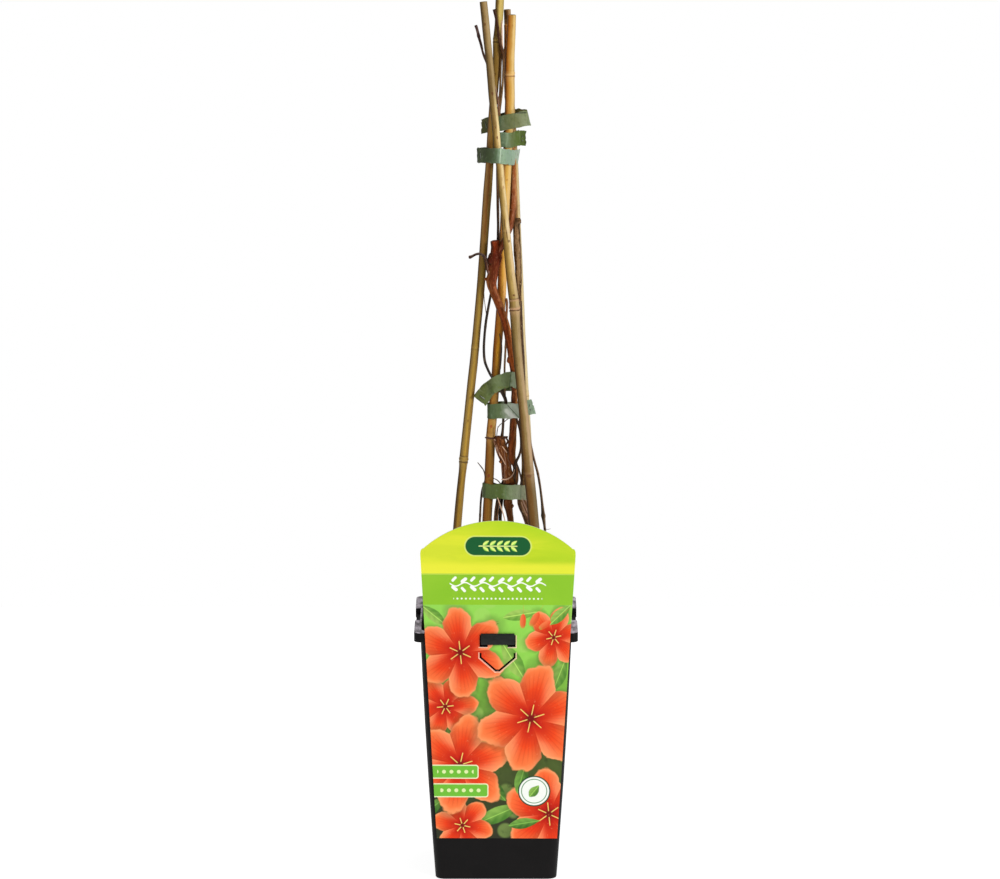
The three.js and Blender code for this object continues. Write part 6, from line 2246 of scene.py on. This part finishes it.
def lime_rays(art):
    """Soft streaks of lime, yellower low down and on the left."""
    rays = art.noise(art.attribute("rays"), 0.07, 4, 0.55, 0.6)
    lime = art.ramp(rays, [(0.34, (184, 210, 36)), (0.5, (206, 222, 42)), (0.64, (222, 228, 52))])
    for share, tone in (
        (art.smooth(15, -45, art.x) * art.smooth(300, 285, art.y) * 0.55, (232, 234, 60)),
        (art.smooth(0, 55, art.x) * 0.6, (172, 210, 38)),
        (art.smooth(286, 303, art.y + art.x * 0.05) * 0.7, (172, 212, 36)),
        (art.smooth(272, 266, art.y) * art.smooth(258, 262, art.y) * 0.8, (236, 236, 62)),
    ):
        lime = art.mix(share, lime, tone)
    return lime


def draw_arch(art):
    """The top of the label: soft lime rays, a plaque with a leaf, and stripes."""
    art.colour = lime_rays(art)
    art.capsule(0, PLAQUE, 27, 8.6, (214, 232, 120), 0.4)
    art.capsule(0, PLAQUE, 26, 7.7, (24, 92, 48), 0.3)
    art.capsule(0, PLAQUE, 15.5, 0.45, (226, 240, 150))
    for side in (-1, 1):
        for step in range(-2, 3):
            art.leaf(step * 5.6 + 1.6, PLAQUE + side * 2.6, 3.1, 1.35, side * 38, 1.6)


def draw_band(art):
    """Stripes, then a white vine scroll over a row of small dots on the green band."""
    clouds = art.noise(art.flat, 0.03, 3)
    art.colour = art.ramp(clouds, [(0.35, (134, 192, 40)), (0.65, (146, 200, 46))])
    art.lay(art.smooth(14, 62, art.size(art.x)) * 0.3, (156, 206, 56))
    art.lay(art.smooth(260.2, 260.8, art.y), lime_rays(art))
    art.band(259.6, 260.4, (196, 220, 84), 0.3)
    white = (250, 252, 244)
    wave = art.sin(art.x * SCROLL_TURNS) * 1.5
    inside_band = art.smooth(39, 38, art.size(art.x))
    stalk = art.size(art.y - SCROLL - wave)
    art.lay(art.smooth(0.75, 0.35, stalk) * inside_band, white)
    for step in range(-5, 6):
        side = 1 if step % 2 else -1
        centre = (step + 0.5) * math.pi / SCROLL_TURNS - 1.0
        if abs(centre) < 37:
            art.capsule(centre, SCROLL - side * 3.4, 3.0, 1.35, white, degrees=-side * 40)
            art.capsule(centre - 0.4, SCROLL + side * 4.4, 2.6, 1.1, white, degrees=side * 48)
    dots = art.repeats(art.x, 3.4)
    row = art.smooth(0.95, 0.6, art.far(dots, art.y - DOTS)) * art.smooth(36, 35, art.size(art.x))
    art.lay(row, (244, 250, 232))


def zone_of(x, height):
    for number, (left, right, low, high) in enumerate(ZONES):
        if left <= x < right and low <= height < high:
            return number
    return ARCH_ZONE if height >= ARCH_FOOT else FIRST_PICTURE_ZONE


def draw_picture(art, zone):
    height = (art.y - PICTURE_FOOT) / (BAND_FOOT - PICTURE_FOOT)
    clouds = art.noise(art.flat, 0.035, 3, 0.55, 0.4) - 0.5
    art.colour = art.ramp(height + clouds * 0.4, [
        (0.02, (48, 50, 36)), (0.2, (62, 70, 38)), (0.4, (84, 104, 46)),
        (0.6, (118, 172, 62)), (0.75, (140, 206, 78)), (0.95, (148, 214, 84)),
    ])
    soft_spots = art.cells(art.flat, 0.055)
    art.lay(art.smooth(0.42, 0.3, soft_spots) * 0.3, (176, 214, 110))
    dark_spots = art.noise(art.flat, 0.07, 4, 0.6)
    art.lay(art.smooth(0.56, 0.7, dark_spots) * art.smooth(0.8, 0.4, height) * 0.6, (44, 54, 28))
    left, right, low, high = zone
    for kind, x, y, reach, *shape in picture_marks():
        past_x = max(left - x, x - right, 0)
        past_y = max(low - y, y - high, 0)
        if math.hypot(past_x, past_y) < reach * MARK_REACH + ZONE_MARGIN:
            getattr(art, kind)(x, y, reach, *shape)
    if low < WINDOW["top"] and high > TONGUE["tip"] - 1:
        for cut in CUT_EDGES:
            art.cut_edge(*cut)


def picture_marks():
    """The picture's leaves, blooms, buds and badges, from the back to the front."""
    leaves = [("leaf", *leaf) for leaf in LEAVES]
    blooms = [("bloom", *bloom) for bloom in BLOOMS]
    buds = [("bud", *bud) for bud in BUDS]
    tabs = [("tab", *tab) for tab in TABS]
    return leaves[:8] + blooms[:4] + leaves[8:] + buds + blooms[4:] + tabs + [("badge", *BADGE)]


def label_look(number, zone):
    art = Print(f"label_print_{number:02d}")
    if number == ARCH_ZONE:
        draw_arch(art)
    elif number == BAND_ZONE:
        draw_band(art)
    else:
        draw_picture(art, zone)
    art.surface(*SHEET_SHINE)
    return art


def make_label():
    looks = [label_look(number, zone) for number, zone in enumerate(ZONES)]
    bare = Look("label_bare", (226, 226, 222))
    bare.surface(*SHEET_SHINE)
    part, zones = label_mesh()
    sheet_obj = piece("label_sheet", part, looks + [bare], ["label"])
    sheet_obj.data.polygons.foreach_set("material_index", zones)


# ------------------------------------------------------------------------------------------------
# The whole scene
# ------------------------------------------------------------------------------------------------


def main():
    scene = bpy.context.scene
    scene.view_settings.view_transform = "Standard"
    scene.view_settings.look = "None"
    make_camera()
    make_world()
    make_lights()
    make_floor()
    make_pot()
    make_canes()
    make_vine()
    make_ties()
    make_label()
    bpy.context.view_layer.update()


main()
